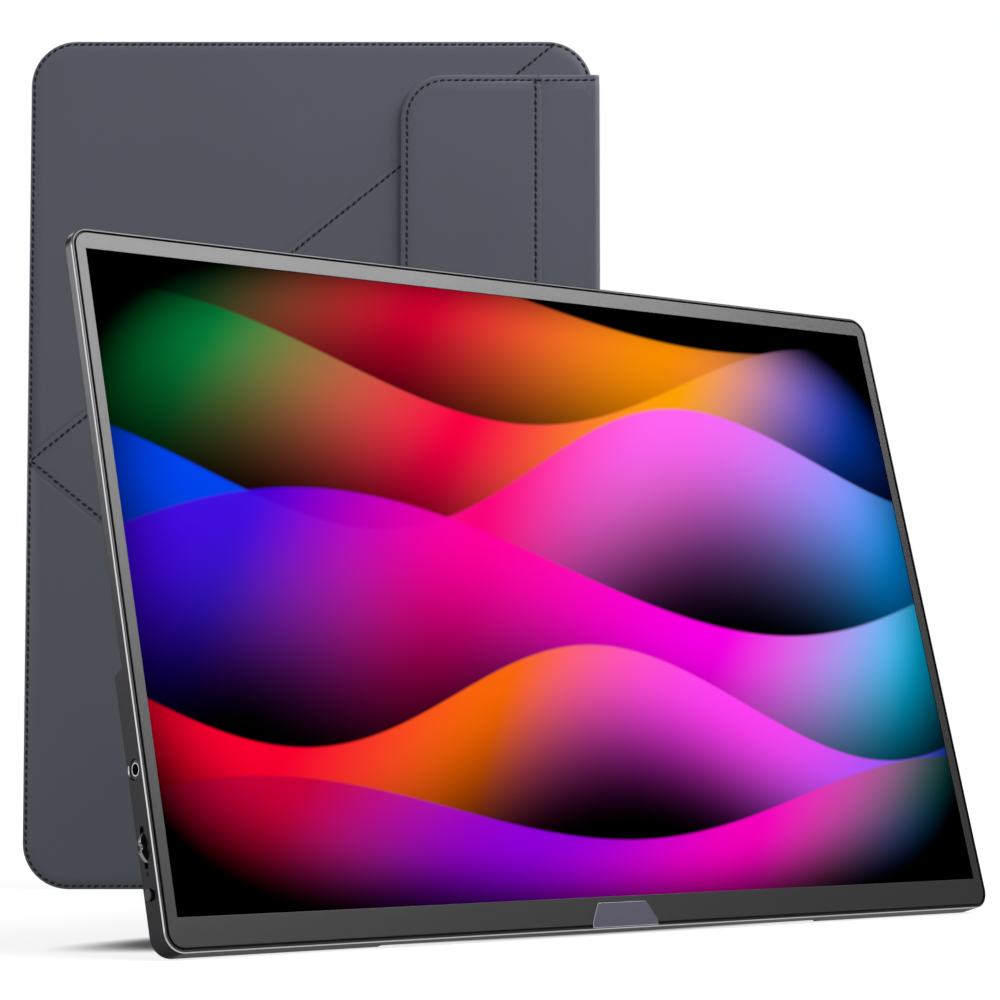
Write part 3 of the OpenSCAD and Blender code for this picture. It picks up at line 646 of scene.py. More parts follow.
def build_grain_group() -> bpy.types.NodeTree:
    """Make the group that every finish uses for its fine grain and its slow unevenness.

    Returns:
        The group, with a Grain height, a Drift mask and a Pores mask as outputs.
    """
    t, src, dst = shader_group(
        "fine_grain",
        [("Vector", "NodeSocketVector", (0.0, 0.0, 0.0)), ("Grain Scale", "NodeSocketFloat", 3000.0),
         ("Drift Scale", "NodeSocketFloat", 12.0), ("Stretch", "NodeSocketVector", (1.0, 1.0, 1.0))],
        [("Grain", "NodeSocketFloat"), ("Drift", "NodeSocketFloat"), ("Pores", "NodeSocketFloat")])
    where = t.vector("MULTIPLY", src.outputs["Vector"], src.outputs["Stretch"])
    fine = t.add("ShaderNodeTexNoise", {"Vector": where.outputs[0], "Scale": src.outputs["Grain Scale"],
                                        "Detail": 3.0, "Roughness": 0.6})
    slow = t.add("ShaderNodeTexNoise", {"Vector": src.outputs["Vector"], "Scale": src.outputs["Drift Scale"],
                                        "Detail": 3.0, "Roughness": 0.5})
    cells = t.add("ShaderNodeTexVoronoi", {"Vector": where.outputs[0], "Scale": src.outputs["Grain Scale"]},
                  feature="DISTANCE_TO_EDGE")
    t.feed(dst.inputs["Grain"], fine.outputs[0])
    t.feed(dst.inputs["Drift"], t.smoothstep(slow.outputs[0], 0.3, 0.7))
    t.feed(dst.inputs["Pores"], t.smoothstep(cells.outputs["Distance"], 0.0, 0.25))
    return t.tree


def build_facing_group() -> bpy.types.NodeTree:
    """Make the group that picks out faces turned to a given angle from an axis.

    Returns:
        The group, with a Mask output that is 1 on those faces.
    """
    t, src, dst = shader_group(
        "facing_band",
        [("Axis", "NodeSocketVector", (0.0, 0.0, 1.0)), ("Middle", "NodeSocketFloat", 0.7),
         ("Width", "NodeSocketFloat", 0.2)],
        [("Mask", "NodeSocketFloat")])
    where = t.add("ShaderNodeTexCoord")
    facing = t.vector("DOT_PRODUCT", where.outputs["Normal"], src.outputs["Axis"])
    away = t.math("ABSOLUTE", t.math("SUBTRACT", facing.outputs["Value"], src.outputs["Middle"]))
    t.feed(dst.inputs["Mask"], t.math("LESS_THAN", away, src.outputs["Width"]))
    return t.tree


GRAIN = build_grain_group()
FACING = build_facing_group()


@dataclass(frozen=True)
class Finish:
    """A finish: an even colour with fine grain, slow drift and a little unevenness of gloss."""

    name: str
    color: Color
    roughness: float = 0.5
    metallic: float = 0.0
    specular: float = 0.5
    grain_scale: float = 3000.0
    grain_depth: float = 0.02
    drift_scale: float = 12.0
    drift: float = 0.1
    rough_spread: float = 0.06
    stretch: tuple[float, float, float] = (1.0, 1.0, 1.0)
    grazing: float = 1.0

    def start(self) -> tuple[bpy.types.Material, Tree, bpy.types.Node, bpy.types.Node]:
        """Make the material with its shader and its grain group.

        Returns:
            The material, the tree helper, the Principled shader and the grain group's node.
        """
        material, t, shader = new_material(self.name)
        material.diffuse_color = (*self.color, 1.0)
        where = t.add("ShaderNodeTexCoord")
        grain = t.add("ShaderNodeGroup", node_tree=GRAIN)
        t.fill(grain, {"Vector": where.outputs["Object"], "Grain Scale": self.grain_scale,
                       "Drift Scale": self.drift_scale, "Stretch": self.stretch})
        return material, t, shader, grain

    def shade(self, t: Tree, shader: bpy.types.Node, grain: bpy.types.Node) -> None:
        """Feed the shader with the colour, gloss and grain of this finish.

        Args:
            t: the material's tree helper.
            shader: the Principled shader.
            grain: the grain group's node.
        """
        dark = tuple(c * (1 - self.drift) for c in self.color)
        light = tuple(min(1.0, c * (1 + self.drift)) for c in self.color)
        t.feed(shader.inputs["Base Color"], t.mix(grain.outputs["Drift"], dark, light))
        low, high = max(0.02, self.roughness - self.rough_spread), min(1.0, self.roughness + self.rough_spread)
        rough = t.add("ShaderNodeMapRange", {"Value": grain.outputs["Grain"], "To Min": low, "To Max": high})
        t.feed(shader.inputs["Roughness"], rough.outputs[0])
        bump = t.add("ShaderNodeBump", {"Strength": self.grain_depth, "Distance": 0.0002,
                                        "Height": grain.outputs["Grain"]})
        t.feed(shader.inputs["Normal"], bump.outputs[0])
        t.fill(shader, {"Metallic": self.metallic, "Specular IOR Level": self.specular,
                        "Specular Tint": (self.grazing, self.grazing, self.grazing)})

    def build(self) -> bpy.types.Material:
        """Make the material.

        Returns:
            The material, ready to be put on a piece.
        """
        material, t, shader, grain = self.start()
        self.shade(t, shader, grain)
        return material


@dataclass(frozen=True)
class EdgedFinish(Finish):
    """A finish whose faces turned to one band of angles from an axis have another colour and gloss."""

    axis: tuple[float, float, float] = (0.0, -1.0, 0.0)
    middle: float = 0.707
    width: float = 0.12
    edge_color: Color = (0.3, 0.3, 0.31)
    edge_roughness: float = 0.2
    edge_share: float = 1.0
    edge_limit: tuple[float, float] | None = None

    def lay_edge(self, t: Tree, shader: bpy.types.Node) -> None:
        """Lay the band's colour and gloss over what the shader has.

        Args:
            t: the material's tree helper.
            shader: the Principled shader, already fed with its plain colour and roughness.
        """
        facing = t.add("ShaderNodeGroup", node_tree=FACING)
        t.fill(facing, {"Axis": self.axis, "Middle": self.middle, "Width": self.width})
        mask = t.math("MULTIPLY", facing.outputs["Mask"], self.edge_share)
        if self.edge_limit is not None:
            where = t.add("ShaderNodeTexCoord")
            height = t.vector("DOT_PRODUCT", where.outputs["Object"], self.axis)
            low, high = self.edge_limit
            mask = t.math("MULTIPLY", mask, t.smoothstep(height.outputs["Value"], high, low))
        plain = shader.inputs["Base Color"].links[0].from_socket
        t.feed(shader.inputs["Base Color"], t.mix(mask, plain, self.edge_color))
        rough = shader.inputs["Roughness"].links[0].from_socket
        kept = t.math("MULTIPLY", rough, t.math("SUBTRACT", 1.0, mask))
        t.feed(shader.inputs["Roughness"], t.math("ADD", kept, t.math("MULTIPLY", mask, self.edge_roughness)))

    def build(self) -> bpy.types.Material:
        """Make the finish and lay its edge band over it.

        Returns:
            The material.
        """
        material, t, shader, grain = self.start()
        self.shade(t, shader, grain)
        self.lay_edge(t, shader)
        return material


@dataclass(frozen=True)
class Leather(EdgedFinish):
    """Smooth coated leather: flat pores, a soft sheen, slow unevenness and paler cut edges."""

    pore_depth: float = 0.05
    pore_shade: float = 0.10
    wave_scale: float = 22.0
    wave_depth: float = 0.2

    def build(self) -> bpy.types.Material:
        """Make the leather.

        Returns:
            The material.
        """
        material, t, shader, grain = self.start()
        self.shade(t, shader, grain)
        plain = shader.inputs["Base Color"].links[0].from_socket
        deep = t.math("MULTIPLY", t.math("SUBTRACT", 1.0, grain.outputs["Pores"]), self.pore_shade)
        t.feed(shader.inputs["Base Color"], t.mix(deep, plain, tuple(c * 0.35 for c in self.color)))
        where = t.add("ShaderNodeTexCoord")
        waves = t.add("ShaderNodeTexNoise", {"Vector": where.outputs["Object"], "Scale": self.wave_scale,
                                             "Detail": 1.0})
        slow = t.add("ShaderNodeBump", {"Strength": self.wave_depth, "Distance": 0.001, "Height": waves.outputs[0]})
        pores = t.add("ShaderNodeBump", {"Strength": self.pore_depth, "Distance": 0.0002,
                                         "Height": grain.outputs["Pores"], "Normal": slow.outputs[0]})
        fine = shader.inputs["Normal"].links[0].from_node
        t.feed(fine.inputs["Normal"], pores.outputs[0])
        self.lay_edge(t, shader)
        t.fill(shader, {"Sheen Weight": 0.1, "Sheen Roughness": 0.5})
        return material


@dataclass(frozen=True)
class Veil:
    """One soft wave of colour in the picture.

    level is the wave's height at the left side, slope its rise across the picture, and swing,
    length and phase give its undulation. A wave fades downwards over its depth.
    """

    level: float
    slope: float
    swing: float
    length: float
    phase: float
    depth: float
    opacity: float
    colors: tuple[Color, Color, Color, Color]


@dataclass(frozen=True)
class Picture:
    """The lit picture: soft translucent waves of strong colour on black."""

    name: str = "picture_light"
    strength: float = 1.0
    edge: float = 0.02
    deep_from: float = 0.9
    lean: float = 0.18
    stops: tuple[float, float, float, float] = (0.05, 0.33, 0.62, 0.95)
    corner_power: float = 3.5
    corner_fade: tuple[float, float] = (1.35, 0.55)
    veils: tuple[Veil, ...] = (
        Veil(1.02, -0.02, 0.06, 1.1, 0.3, 0.42, 0.95,
             ((0.0, 0.16, 0.04), (0.9, 0.0, 0.04), (1.0, 0.28, 0.0), (0.0, 0.05, 0.25))),
        Veil(0.86, 0.02, 0.09, 0.9, 1.3, 0.40, 0.95,
             ((0.0, 0.26, 0.05), (1.0, 0.0, 0.06), (1.0, 0.36, 0.0), (0.0, 0.10, 1.0))),
        Veil(0.66, 0.10, 0.10, 0.8, 2.4, 0.46, 0.95,
             ((0.0, 0.06, 0.9), (1.0, 0.0, 0.22), (1.0, 0.12, 0.95), (0.0, 0.35, 1.0))),
        Veil(0.52, 0.04, 0.12, 1.2, 0.5, 0.40, 0.92,
             ((0.06, 0.0, 0.75), (1.0, 0.0, 0.35), (1.0, 0.0, 0.85), (0.0, 0.60, 1.0))),
        Veil(0.34, -0.04, 0.09, 0.75, 3.4, 0.34, 0.95,
             ((1.0, 0.0, 0.03), (1.0, 0.14, 0.0), (1.0, 0.05, 0.9), (0.0, 0.12, 1.0))),
        Veil(0.14, 0.02, 0.06, 0.9, 0.9, 0.30, 0.9,
             ((0.55, 0.0, 0.04), (0.30, 0.0, 0.75), (1.0, 0.0, 0.55), (0.0, 0.16, 0.04))),
    )

    def build(self) -> bpy.types.Material:
        """Make the picture's material from its waves.

        Returns:
            The material, which reads the piece's own UV map.
        """
        material, t, shader = new_material(self.name)
        split = t.add("ShaderNodeSeparateXYZ", {0: t.add("ShaderNodeUVMap", uv_map="picture").outputs[0]})
        u, v = split.outputs[0], split.outputs[1]
        color: object = (0.0, 0.0, 0.0)
        for veil in self.veils:
            angle = t.math("ADD", t.math("MULTIPLY", u, 2 * math.pi / veil.length), veil.phase)
            wave = t.math("MULTIPLY", t.math("SINE", angle), veil.swing)
            crest = t.math("ADD", t.math("ADD", t.math("MULTIPLY", u, veil.slope), veil.level), wave)
            below = t.math("DIVIDE", t.math("SUBTRACT", crest, v), veil.depth)
            front = t.smoothstep(below, 0.0, self.edge)
            fade = t.smoothstep(below, 1.0, 0.1)
            share = t.math("MULTIPLY", t.math("MULTIPLY", front, fade), veil.opacity)
            drift = t.math("ADD", u, t.math("MULTIPLY", t.math("SUBTRACT", below, 0.5), self.lean))
            hue = t.ramp(drift, list(zip(self.stops, veil.colors)), Ramp.EASE)
            deep = t.smoothstep(below, self.deep_from, 0.0)
            color = t.mix(share, color, t.mix(deep, (0.0, 0.0, 0.0), hue))
        away = [t.math("MULTIPLY", t.math("SUBTRACT", axis, 0.5), 2.0) for axis in (u, v)]
        far = t.math("ADD", *(t.math("POWER", t.math("ABSOLUTE", d), self.corner_power) for d in away))
        lit = t.smoothstep(far, *self.corner_fade)
        color = t.mix(lit, (0.0, 0.0, 0.0), color)
        t.fill(shader, {"Emission Color": color, "Base Color": (0.0, 0.0, 0.0), "Emission Strength": self.strength,
                        "Roughness": 0.3, "Specular IOR Level": 0.0, "IOR": 1.0})
        return material


# Geometry Nodes


class Stitching:
    """The tree that sews: it lays one thread dash at every pitch of a line."""

    PITCH = 3.1 * MM
    DASH = 2.6 * MM

    def __init__(self) -> None:
        """Build the tree with its named inputs."""
        tree = bpy.data.node_groups.new("stitch_run", "GeometryNodeTree")
        face = tree.interface
        face.new_socket("Geometry", in_out="INPUT", socket_type="NodeSocketGeometry")
        self.ids: dict[str, str] = {}
        for label, kind, value in (
                ("Pitch", "Float", self.PITCH), ("Dash Length", "Float", self.DASH), ("Dash Width", "Float", 1.05 * MM),
                ("Dash Height", "Float", 0.45 * MM), ("Slant", "Float", 0.16), ("Wander", "Float", 0.06 * MM),
                ("Seed", "Int", 7), ("Facing", "Vector", (0.0, -1.0, 0.0)), ("Material", "Material", None)):
            socket = face.new_socket(label, in_out="INPUT", socket_type="NodeSocket" + kind)
            if value is not None:
                socket.default_value = value
            self.ids[label] = socket.identifier
        face.new_socket("Geometry", in_out="OUTPUT", socket_type="NodeSocketGeometry")
        t = Tree(tree)
        src, dst = tree.nodes.new("NodeGroupInput"), tree.nodes.new("NodeGroupOutput")
        line = t.add("GeometryNodeMeshToCurve", {0: src.outputs["Geometry"]})
        spots = t.add("GeometryNodeCurveToPoints", {"Curve": line.outputs[0], "Length": src.outputs["Pitch"]},
                      mode="LENGTH")
        jitter = t.add("FunctionNodeRandomValue", {"Seed": src.outputs["Seed"]}, data_type="FLOAT_VECTOR")
        jitter.inputs["Min"].default_value = (-1.0, -1.0, -1.0)
        jitter.inputs["Max"].default_value = (1.0, 1.0, 1.0)
        shift = t.add("ShaderNodeVectorMath", {0: jitter.outputs[0], "Scale": src.outputs["Wander"]}, operation="SCALE")
        moved = t.add("GeometryNodeSetPosition", {"Geometry": spots.outputs[0], "Offset": shift.outputs[0]})
        run = t.add("FunctionNodeAlignRotationToVector", {"Vector": spots.outputs["Tangent"]}, axis="X")
        outward = t.add("FunctionNodeAlignRotationToVector",
                        {"Rotation": run.outputs[0], "Vector": src.outputs["Facing"]}, axis="Z", pivot_axis="X")
        slant = t.add("ShaderNodeCombineXYZ", {"Z": src.outputs["Slant"]})
        turned = t.add("FunctionNodeRotateRotation", {"Rotation": outward.outputs[0], "Rotate By": slant.outputs[0]},
                       rotation_space="LOCAL")
        dash = t.add("GeometryNodeMeshUVSphere", {"Segments": 8, "Rings": 5, "Radius": 0.5})
        size = t.add("ShaderNodeCombineXYZ", {"X": src.outputs["Dash Length"], "Y": src.outputs["Dash Width"],
                                              "Z": src.outputs["Dash Height"]})
        placed = t.add("GeometryNodeInstanceOnPoints", {"Points": moved.outputs[0], "Instance": dash.outputs[0],
                                                        "Rotation": turned.outputs[0], "Scale": size.outputs[0]})
        real = t.add("GeometryNodeRealizeInstances", {0: placed.outputs[0]})
        shaded = t.add("GeometryNodeSetShadeSmooth", {0: real.outputs[0]})
        dressed = t.add("GeometryNodeSetMaterial", {"Geometry": shaded.outputs[0], "Material": src.outputs["Material"]})
        t.feed(dst.inputs[0], dressed.outputs[0])
        self.tree = tree

    def sew(self, name: str, lines: list[list[Vector]], facing: Vector,
            material: bpy.types.Material) -> bpy.types.Object:
        """Sew along lines and return the thread as one plain mesh.

        Args:
            name: the piece's name.
            lines: points of each line, in the row frame.
            facing: direction out of the sewn surface.
            material: the thread's material.

        Returns:
            The thread.
        """
        verts: list[Vector] = []
        edges: list[tuple[int, int]] = []
        for line in lines:
            first = len(verts)
            verts += line
            edges += [(first + k, first + k + 1) for k in range(len(line) - 1)]
        mesh = bpy.data.meshes.new(name + "_line")
        mesh.from_pydata([tuple(v) for v in verts], edges, [])
        guide = linked(name + "_line", mesh)
        modifier = guide.modifiers.new("sew", "NODES")
        modifier.node_group = self.tree
        for label, value in (("Pitch", self.PITCH), ("Dash Length", self.DASH), ("Facing", tuple(facing)),
                             ("Material", material)):
            modifier[self.ids[label]] = value
        bpy.context.view_layer.update()
        evaluated = guide.evaluated_get(bpy.context.evaluated_depsgraph_get())
        result = bpy.data.meshes.new_from_object(evaluated)
        bpy.data.objects.remove(guide)
        return linked(name, result)


# Putting pieces on bodies


def hand_over(obj: bpy.types.Object, body: str, material: bpy.types.Material | None,
              replaced: tuple[str, ...] = ()) -> None:
    """Dress a finished piece and give it to its body.

    Args:
        obj: the piece.
        body: the body that it rides on.
        material: its material, or None where it has one.
        replaced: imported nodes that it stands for.
    """
    if material is not None:
        dress(obj.data, material)
    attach(obj, body)
    note(obj, replaced, body)


def note(obj: bpy.types.Object, replaced: tuple[str, ...], where: str) -> None:
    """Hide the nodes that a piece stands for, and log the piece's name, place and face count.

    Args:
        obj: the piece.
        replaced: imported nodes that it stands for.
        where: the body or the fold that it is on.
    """
    if replaced:
        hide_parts(*replaced)
    LOG.info("%s on %s: %d faces", obj.name, where, len(obj.data.polygons))


@dataclass
class Finishes:
    """Every finish of the set, built once."""

    screen: Axes
    cover: Axes
    made: dict[str, bpy.types.Material] = field(default_factory=dict)

    def __post_init__(self) -> None:
        """Build the materials."""
        front, cover_front = tuple(self.screen.out), tuple(self.cover.out)
        rim = self.screen.origin.dot(self.screen.out)
        finishes: list[Finish | Picture] = [
            EdgedFinish("shell_metal", (0.040, 0.040, 0.042), 0.30, 1.0, grain_depth=0.08, drift=0.04, grazing=0.4,
                        axis=front, edge_color=(0.42, 0.42, 0.43), edge_limit=(rim - 0.22 * MM, rim - 0.14 * MM)),
            Finish("bezel_metal", (0.047, 0.047, 0.047), 0.363, 1.0, grain_scale=5200.0, grain_depth=0.12, drift=0.03),
            EdgedFinish("chin_metal", (0.070, 0.066, 0.094), 0.42, 0.7, grain_depth=0.05, drift=0.05, axis=front,
                        width=0.2, edge_color=(0.6, 0.59, 0.66), edge_roughness=0.25),
            Finish("plate_metal", (0.045, 0.046, 0.048), 0.38, 0.9, grain_depth=0.08, drift=0.04),
            # On the jog dial, the faces turned towards -X get a lighter colour and gloss: a painted highlight on the
            # wheel's left side.
            EdgedFinish("control_metal", (0.035, 0.035, 0.037), 0.34, 0.9, grain_depth=0.04, axis=(-1.0, 0.0, 0.0),
                        middle=0.72, width=0.25, edge_color=(0.2, 0.2, 0.21)),
            Finish("button_metal", (0.03, 0.03, 0.032), 0.32, 0.9, grain_depth=0.04),
            Finish("black_plastic", (0.008, 0.008, 0.009), 0.55, specular=0.3, grain_depth=0.15),
            # The light pipe's near-black colour is painted shade, standing in for the dark of its recess.
            Finish("smoked_lens", (0.002, 0.002, 0.002), 0.5, specular=0.05, grain_depth=0.02),
            Finish("bright_steel", (0.42, 0.43, 0.45), 0.28, 1.0, stretch=(1.0, 8.0, 8.0), grain_depth=0.1),
            Finish("ring_chrome", (0.62, 0.62, 0.64), 0.14, 1.0, grain_depth=0.02),
            Finish("black_screw", (0.035, 0.035, 0.037), 0.35, 0.9, grain_depth=0.06),
            Finish("pad_rubber", (0.018, 0.018, 0.019), 0.75, grain_scale=1500.0, grain_depth=0.3),
            Finish("foam", (0.05, 0.05, 0.052), 0.95, grain_scale=1200.0, grain_depth=0.5),
            Finish("circuit_board", (0.015, 0.12, 0.05), 0.4, grain_depth=0.1, drift=0.2),
            Finish("chip_plastic", (0.02, 0.02, 0.021), 0.6, grain_depth=0.15),
            Finish("flex_film", (0.55, 0.42, 0.16), 0.35, grain_depth=0.03),
            Finish("white_film", (0.85, 0.85, 0.87), 0.3, grain_depth=0.02, drift=0.02),
            Finish("clear_acrylic", (0.75, 0.84, 0.86), 0.12, grain_depth=0.01, drift=0.02),
            Finish("screen_glass", (0.004, 0.004, 0.005), 0.12, specular=0.4, grain_depth=0.0, drift=0.02),
            Finish("magnet_nickel", (0.7, 0.68, 0.64), 0.2, 1.0, grain_depth=0.02),
            Finish("cover_board", (0.36, 0.27, 0.18), 0.9, grain_scale=900.0, grain_depth=0.3, drift=0.15),
            Leather("cover_leather", (0.078, 0.085, 0.106), 0.55, specular=0.28, grain_scale=1400.0, grain_depth=0.04,
                    drift_scale=7.0, drift=0.04, axis=cover_front, middle=0.0, width=0.45,
                    edge_color=(0.2, 0.205, 0.215), edge_roughness=0.6, edge_share=0.55),
            Finish("cover_lining", (0.05, 0.055, 0.064), 0.95, specular=0.15, grain_scale=4200.0, grain_depth=0.6,
                   drift_scale=20.0, drift=0.08),
            Finish("thread", (0.006, 0.006, 0.008), 0.75, specular=0.2, grain_scale=6000.0, grain_depth=0.4),
            Picture(),
        ]
        for finish in finishes:
            self.made[finish.name] = finish.build()

    def __getitem__(self, name: str) -> bpy.types.Material:
        """Return the material of that name."""
        return self.made[name]


# The screen


@dataclass
class Screen:
    """The monitor: the picture, the parts whose edges are rounded, and the finish of every node."""

    finishes: Finishes
    axes: Axes
    display_w_mm: float = DISPLAY_MM[0]
    display_h_mm: float = DISPLAY_MM[1]
    glass_z_mm: float = -0.5
    picture_t_mm: float = 0.06
    plain: dict[str, str] = field(default_factory=lambda: {
        "rear_shell": "shell_metal", "mid_frame": "black_plastic", "lcd_cell": "screen_glass",
        "optical_sheets": "white_film", "light_guide": "clear_acrylic", "reflector_sheet": "white_film",
        "led_strip": "flex_film", "panel_tray": "bright_steel", "panel_pads": "foam", "panel_board": "circuit_board",
        "panel_cable": "flex_film", "main_board": "circuit_board", "board_chips": "chip_plastic",
        "board_shield": "bright_steel", "port_board": "circuit_board", "link_cable": "flex_film",
        "usb_c_sockets": "bright_steel", "mini_hdmi_socket": "bright_steel", "headphone_jack": "black_plastic",
        "jack_ring": "ring_chrome", "power_switch": "chip_plastic", "jog_switch": "chip_plastic",
        "light_pipe": "smoked_lens", "speakers": "black_plastic", "hinge_brackets": "bright_steel",
        "hinge_pins": "bright_steel", "hinge_screws": "bright_steel", "board_screws": "bright_steel",
        "case_screws": "black_screw", "jog_cradle": "chip_plastic", "panel_magnets": "magnet_nickel",
        "flap_magnets": "magnet_nickel"})

    def build(self) -> None:
        """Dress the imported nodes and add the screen's own pieces."""
        for node, finish in self.plain.items():
            dress(frame["nodes"][node].data, self.finishes[finish])
        for name, node, width, body, slot, finish in (
                ("bezel_sheet", "bezel", 0.12, "monitor", "bezel_metal", "bezel_metal"),
                ("chin_badge_plate", "chin_plate", 0.3, "monitor", "chin_metal", "chin_metal"),
                ("foot_plate", "kickstand_plate", 0.3, "kickstand", "plate_metal", "plate_metal"),
                ("foot_pads", "kickstand_pads", 0.15, "kickstand", "pad_rubber", "pad_rubber"),
                ("power_cap", "power_button", 0.25, "power_button", "control_metal", "button_metal"),
                ("jog_dial", "jog_wheel", 0.3, "jog_wheel", "control_metal", "control_metal")):
            piece = softened_copy(name, node, width)
            hand_over(piece, body, self.finishes[finish], (node,))
        self.add_picture()

    def add_picture(self) -> None:
        """Lay the lit picture on the glass, with a UV map from corner to corner."""
        half_w, half_h = self.display_w_mm / 2, self.display_h_mm / 2
        corners = [(-half_w, -half_h), (half_w, -half_h), (half_w, half_h), (-half_w, half_h)]
        low, high = self.glass_z_mm, self.glass_z_mm + self.picture_t_mm
        rings = [[(x, y, z) for x, y in corners] for z in (low, high)]
        sheet = loft("picture_sheet", self.axes, rings)
        layer = sheet.data.uv_layers.new(name="picture")
        for loop in sheet.data.loops:
            away = sheet.data.vertices[loop.vertex_index].co - self.axes.origin
            layer.data[loop.index].uv = (away.dot(self.axes.right) / (self.display_w_mm * MM) + 0.5,
                                         away.dot(self.axes.up) / (self.display_h_mm * MM) + 0.5)
        hand_over(sheet, "monitor", self.finishes["picture_light"])


# The cover


@dataclass
class Leaf:
    """One stiff leaf of the cover: where it is, what it stands for and how it is sewn."""

    name: str
    body: str
    outline: Outline
    base_mm: float
    thick_mm: float
    stitch_mm: float


@dataclass
class Cover:
    """The folio: five leaves of leather over board, their linings, folds, spine and thread."""

    finishes: Finishes
    axes: Axes
    panel_w: float = 240.9
    panel_h: float = 362.0
    panel_r: float = 19.5
    panel_t: float = 2.4
    fold_top: float = 224.6
    gap: float = 0.6
    flap_t: float = 2.2
    flap_gap: float = 0.3
    flap_w: float = 58.7
    strip_w: float = 23.9
    flap_inset: float = 15.0
    flap_r: float = 19.0
    lining_t: float = 0.4
    skin_t: float = 0.7
    fold_reach: float = 1.4
    fold_dip: float = 0.02
    fold_skin: float = 0.69
    strip_end: float = 0.15
    thread_lift: float = 0.06
    groove_z: float = 1.36
    panel_stitch: float = 1.4
    flap_stitch: float = 2.5
    fold_stitch: float = 1.0
    fold_sewn: float = 286.5
    fold_sewn_from: float = 0.008
    line_stitch: float = 1.1
    line_stop: float = 3.0

    def __post_init__(self) -> None:
        """Work out the places that follow from the sizes."""
        self.spine = self.panel_w + self.gap
        self.flap_line = self.spine - self.strip_w
        self.flap_z = self.panel_t + self.flap_gap
        self.apex = (0.0, self.panel_h / 2)
        angle = math.atan2(self.panel_h / 2, self.fold_top)
        self.run = (math.cos(angle), math.sin(angle))
        self.stitching = Stitching()

    def beside_fold(self, distance: float, upper: bool) -> tuple[Point, Point]:
        """Return two points of a line beside a diagonal fold.

        Args:
            distance: how far the line lies off the fold, towards the corner.
            upper: whether it is the upper fold.

        Returns:
            The two points, in the order that runs away from the apex.
        """
        x, y = self.run
        sign = 1 if upper else -1
        a = (-y * distance, self.apex[1] + sign * x * distance)
        return a, (a[0] + x * self.panel_h, a[1] + sign * y * self.panel_h)

    def leaves(self) -> list[Leaf]:
        """Return the five leaves with their outlines.

        Returns:
            The leaves.
        """
        r = self.panel_r
        points = round_rect(0, 0, self.panel_w, self.panel_h, (r, r, r, r))
        panel = Outline(points, [Edge.SEWN] * len(points))
        half = self.gap / 2
        up_a, up_b = self.beside_fold(half, True)
        low_a, low_b = self.beside_fold(half, False)
        in_up_a, in_up_b = self.beside_fold(-half, True)
        in_low_a, in_low_b = self.beside_fold(-half, False)
        centre = panel.cut_by(in_up_b, in_up_a).cut_by(in_low_a, in_low_b)
        for k, p in enumerate(centre.points):
            q = centre.points[(k + 1) % len(centre.points)]
            if p[0] > self.panel_w - 0.01 and q[0] > self.panel_w - 0.01:
                centre.kinds[k] = Edge.FOLD
        low, high = self.flap_inset, self.panel_h - self.flap_inset
        strip = Outline(round_rect(self.flap_line + half, low, self.spine - half, high, (0, 0, 0, 0)),
                        [Edge.SEWN, Edge.FOLD, Edge.SEWN, Edge.FOLD])
        points = round_rect(self.flap_line - self.flap_w, low, self.flap_line - half, high,
                            (self.flap_r, 0, 0, self.flap_r))
        kinds = [Edge.FOLD if p[0] > self.flap_line - 1 and points[(k + 1) % len(points)][0] > self.flap_line - 1
                 else Edge.SEWN for k, p in enumerate(points)]
        flap = Outline(points, kinds)
        return [
            Leaf("centre", "cover_centre", centre, 0.0, self.panel_t, self.panel_stitch),
            Leaf("upper", "cover_upper", panel.cut_by(up_a, up_b), 0.0, self.panel_t, self.panel_stitch),
            Leaf("lower", "cover_lower", panel.cut_by(low_b, low_a), 0.0, self.panel_t, self.panel_stitch),
            Leaf("strip", "cover_strip", strip, self.flap_z, self.flap_t, self.flap_stitch),
            Leaf("flap", "cover_flap", flap, self.flap_z, self.flap_t, self.flap_stitch),
        ]

    def profile(self, base: float, thick: float, stitch: float) -> list[tuple[float, float, float, float]]:
        """Return a leaf's edge from back to front.

        Args:
            base: height of the leaf's back.
            thick: the leaf's thickness.
            stitch: distance of the thread from the edge.

        Returns:
            Inset and height at a sewn edge, then inset and height at a fold, for each ring.
        """
        s, b, h = stitch, base + self.lining_t, thick - self.lining_t
        return [
            (1.2, b, 0.5, b),
            (0.4, b + 0.02, 0.1, b + 0.02),
            (0.1, b + 0.2, 0.0, b + 0.2),
            (0.0, b + 0.5, 0.0, b + 0.5),
            (0.08, b + 0.9, 0.0, b + 1.1),
            (0.35, b + 1.25, 0.0, b + h - 0.4),
            (s * 0.55, b + 1.42, 0.02, b + h - 0.2),
            (s, b + self.groove_z, 0.1, b + h - 0.08),
            (s + 0.5, b + 1.5, 0.25, b + h - 0.02),
            (s + 1.6, b + h - 0.22, 0.7, b + h),
            (s + 3.0, b + h + 0.02, 1.5, b + h),
            (s + 5.0, b + h - 0.03, 3.0, b + h),
            (s + 8.0, b + h, 5.0, b + h),
        ]

    def build(self) -> None:
        """Make every leaf with its lining and thread, then the folds and the spine."""
        for leaf in self.leaves():
            self.add_leather(leaf)
            self.add_lining(leaf)
            self.add_thread(leaf)
        for node in ("centre_board", "upper_board", "lower_board", "strip_board", "flap_board"):
            dress(frame["nodes"][node].data, self.finishes["cover_board"])
        self.add_diagonal(True)
        self.add_diagonal(False)
        self.add_flap_fold()
        self.add_spine()

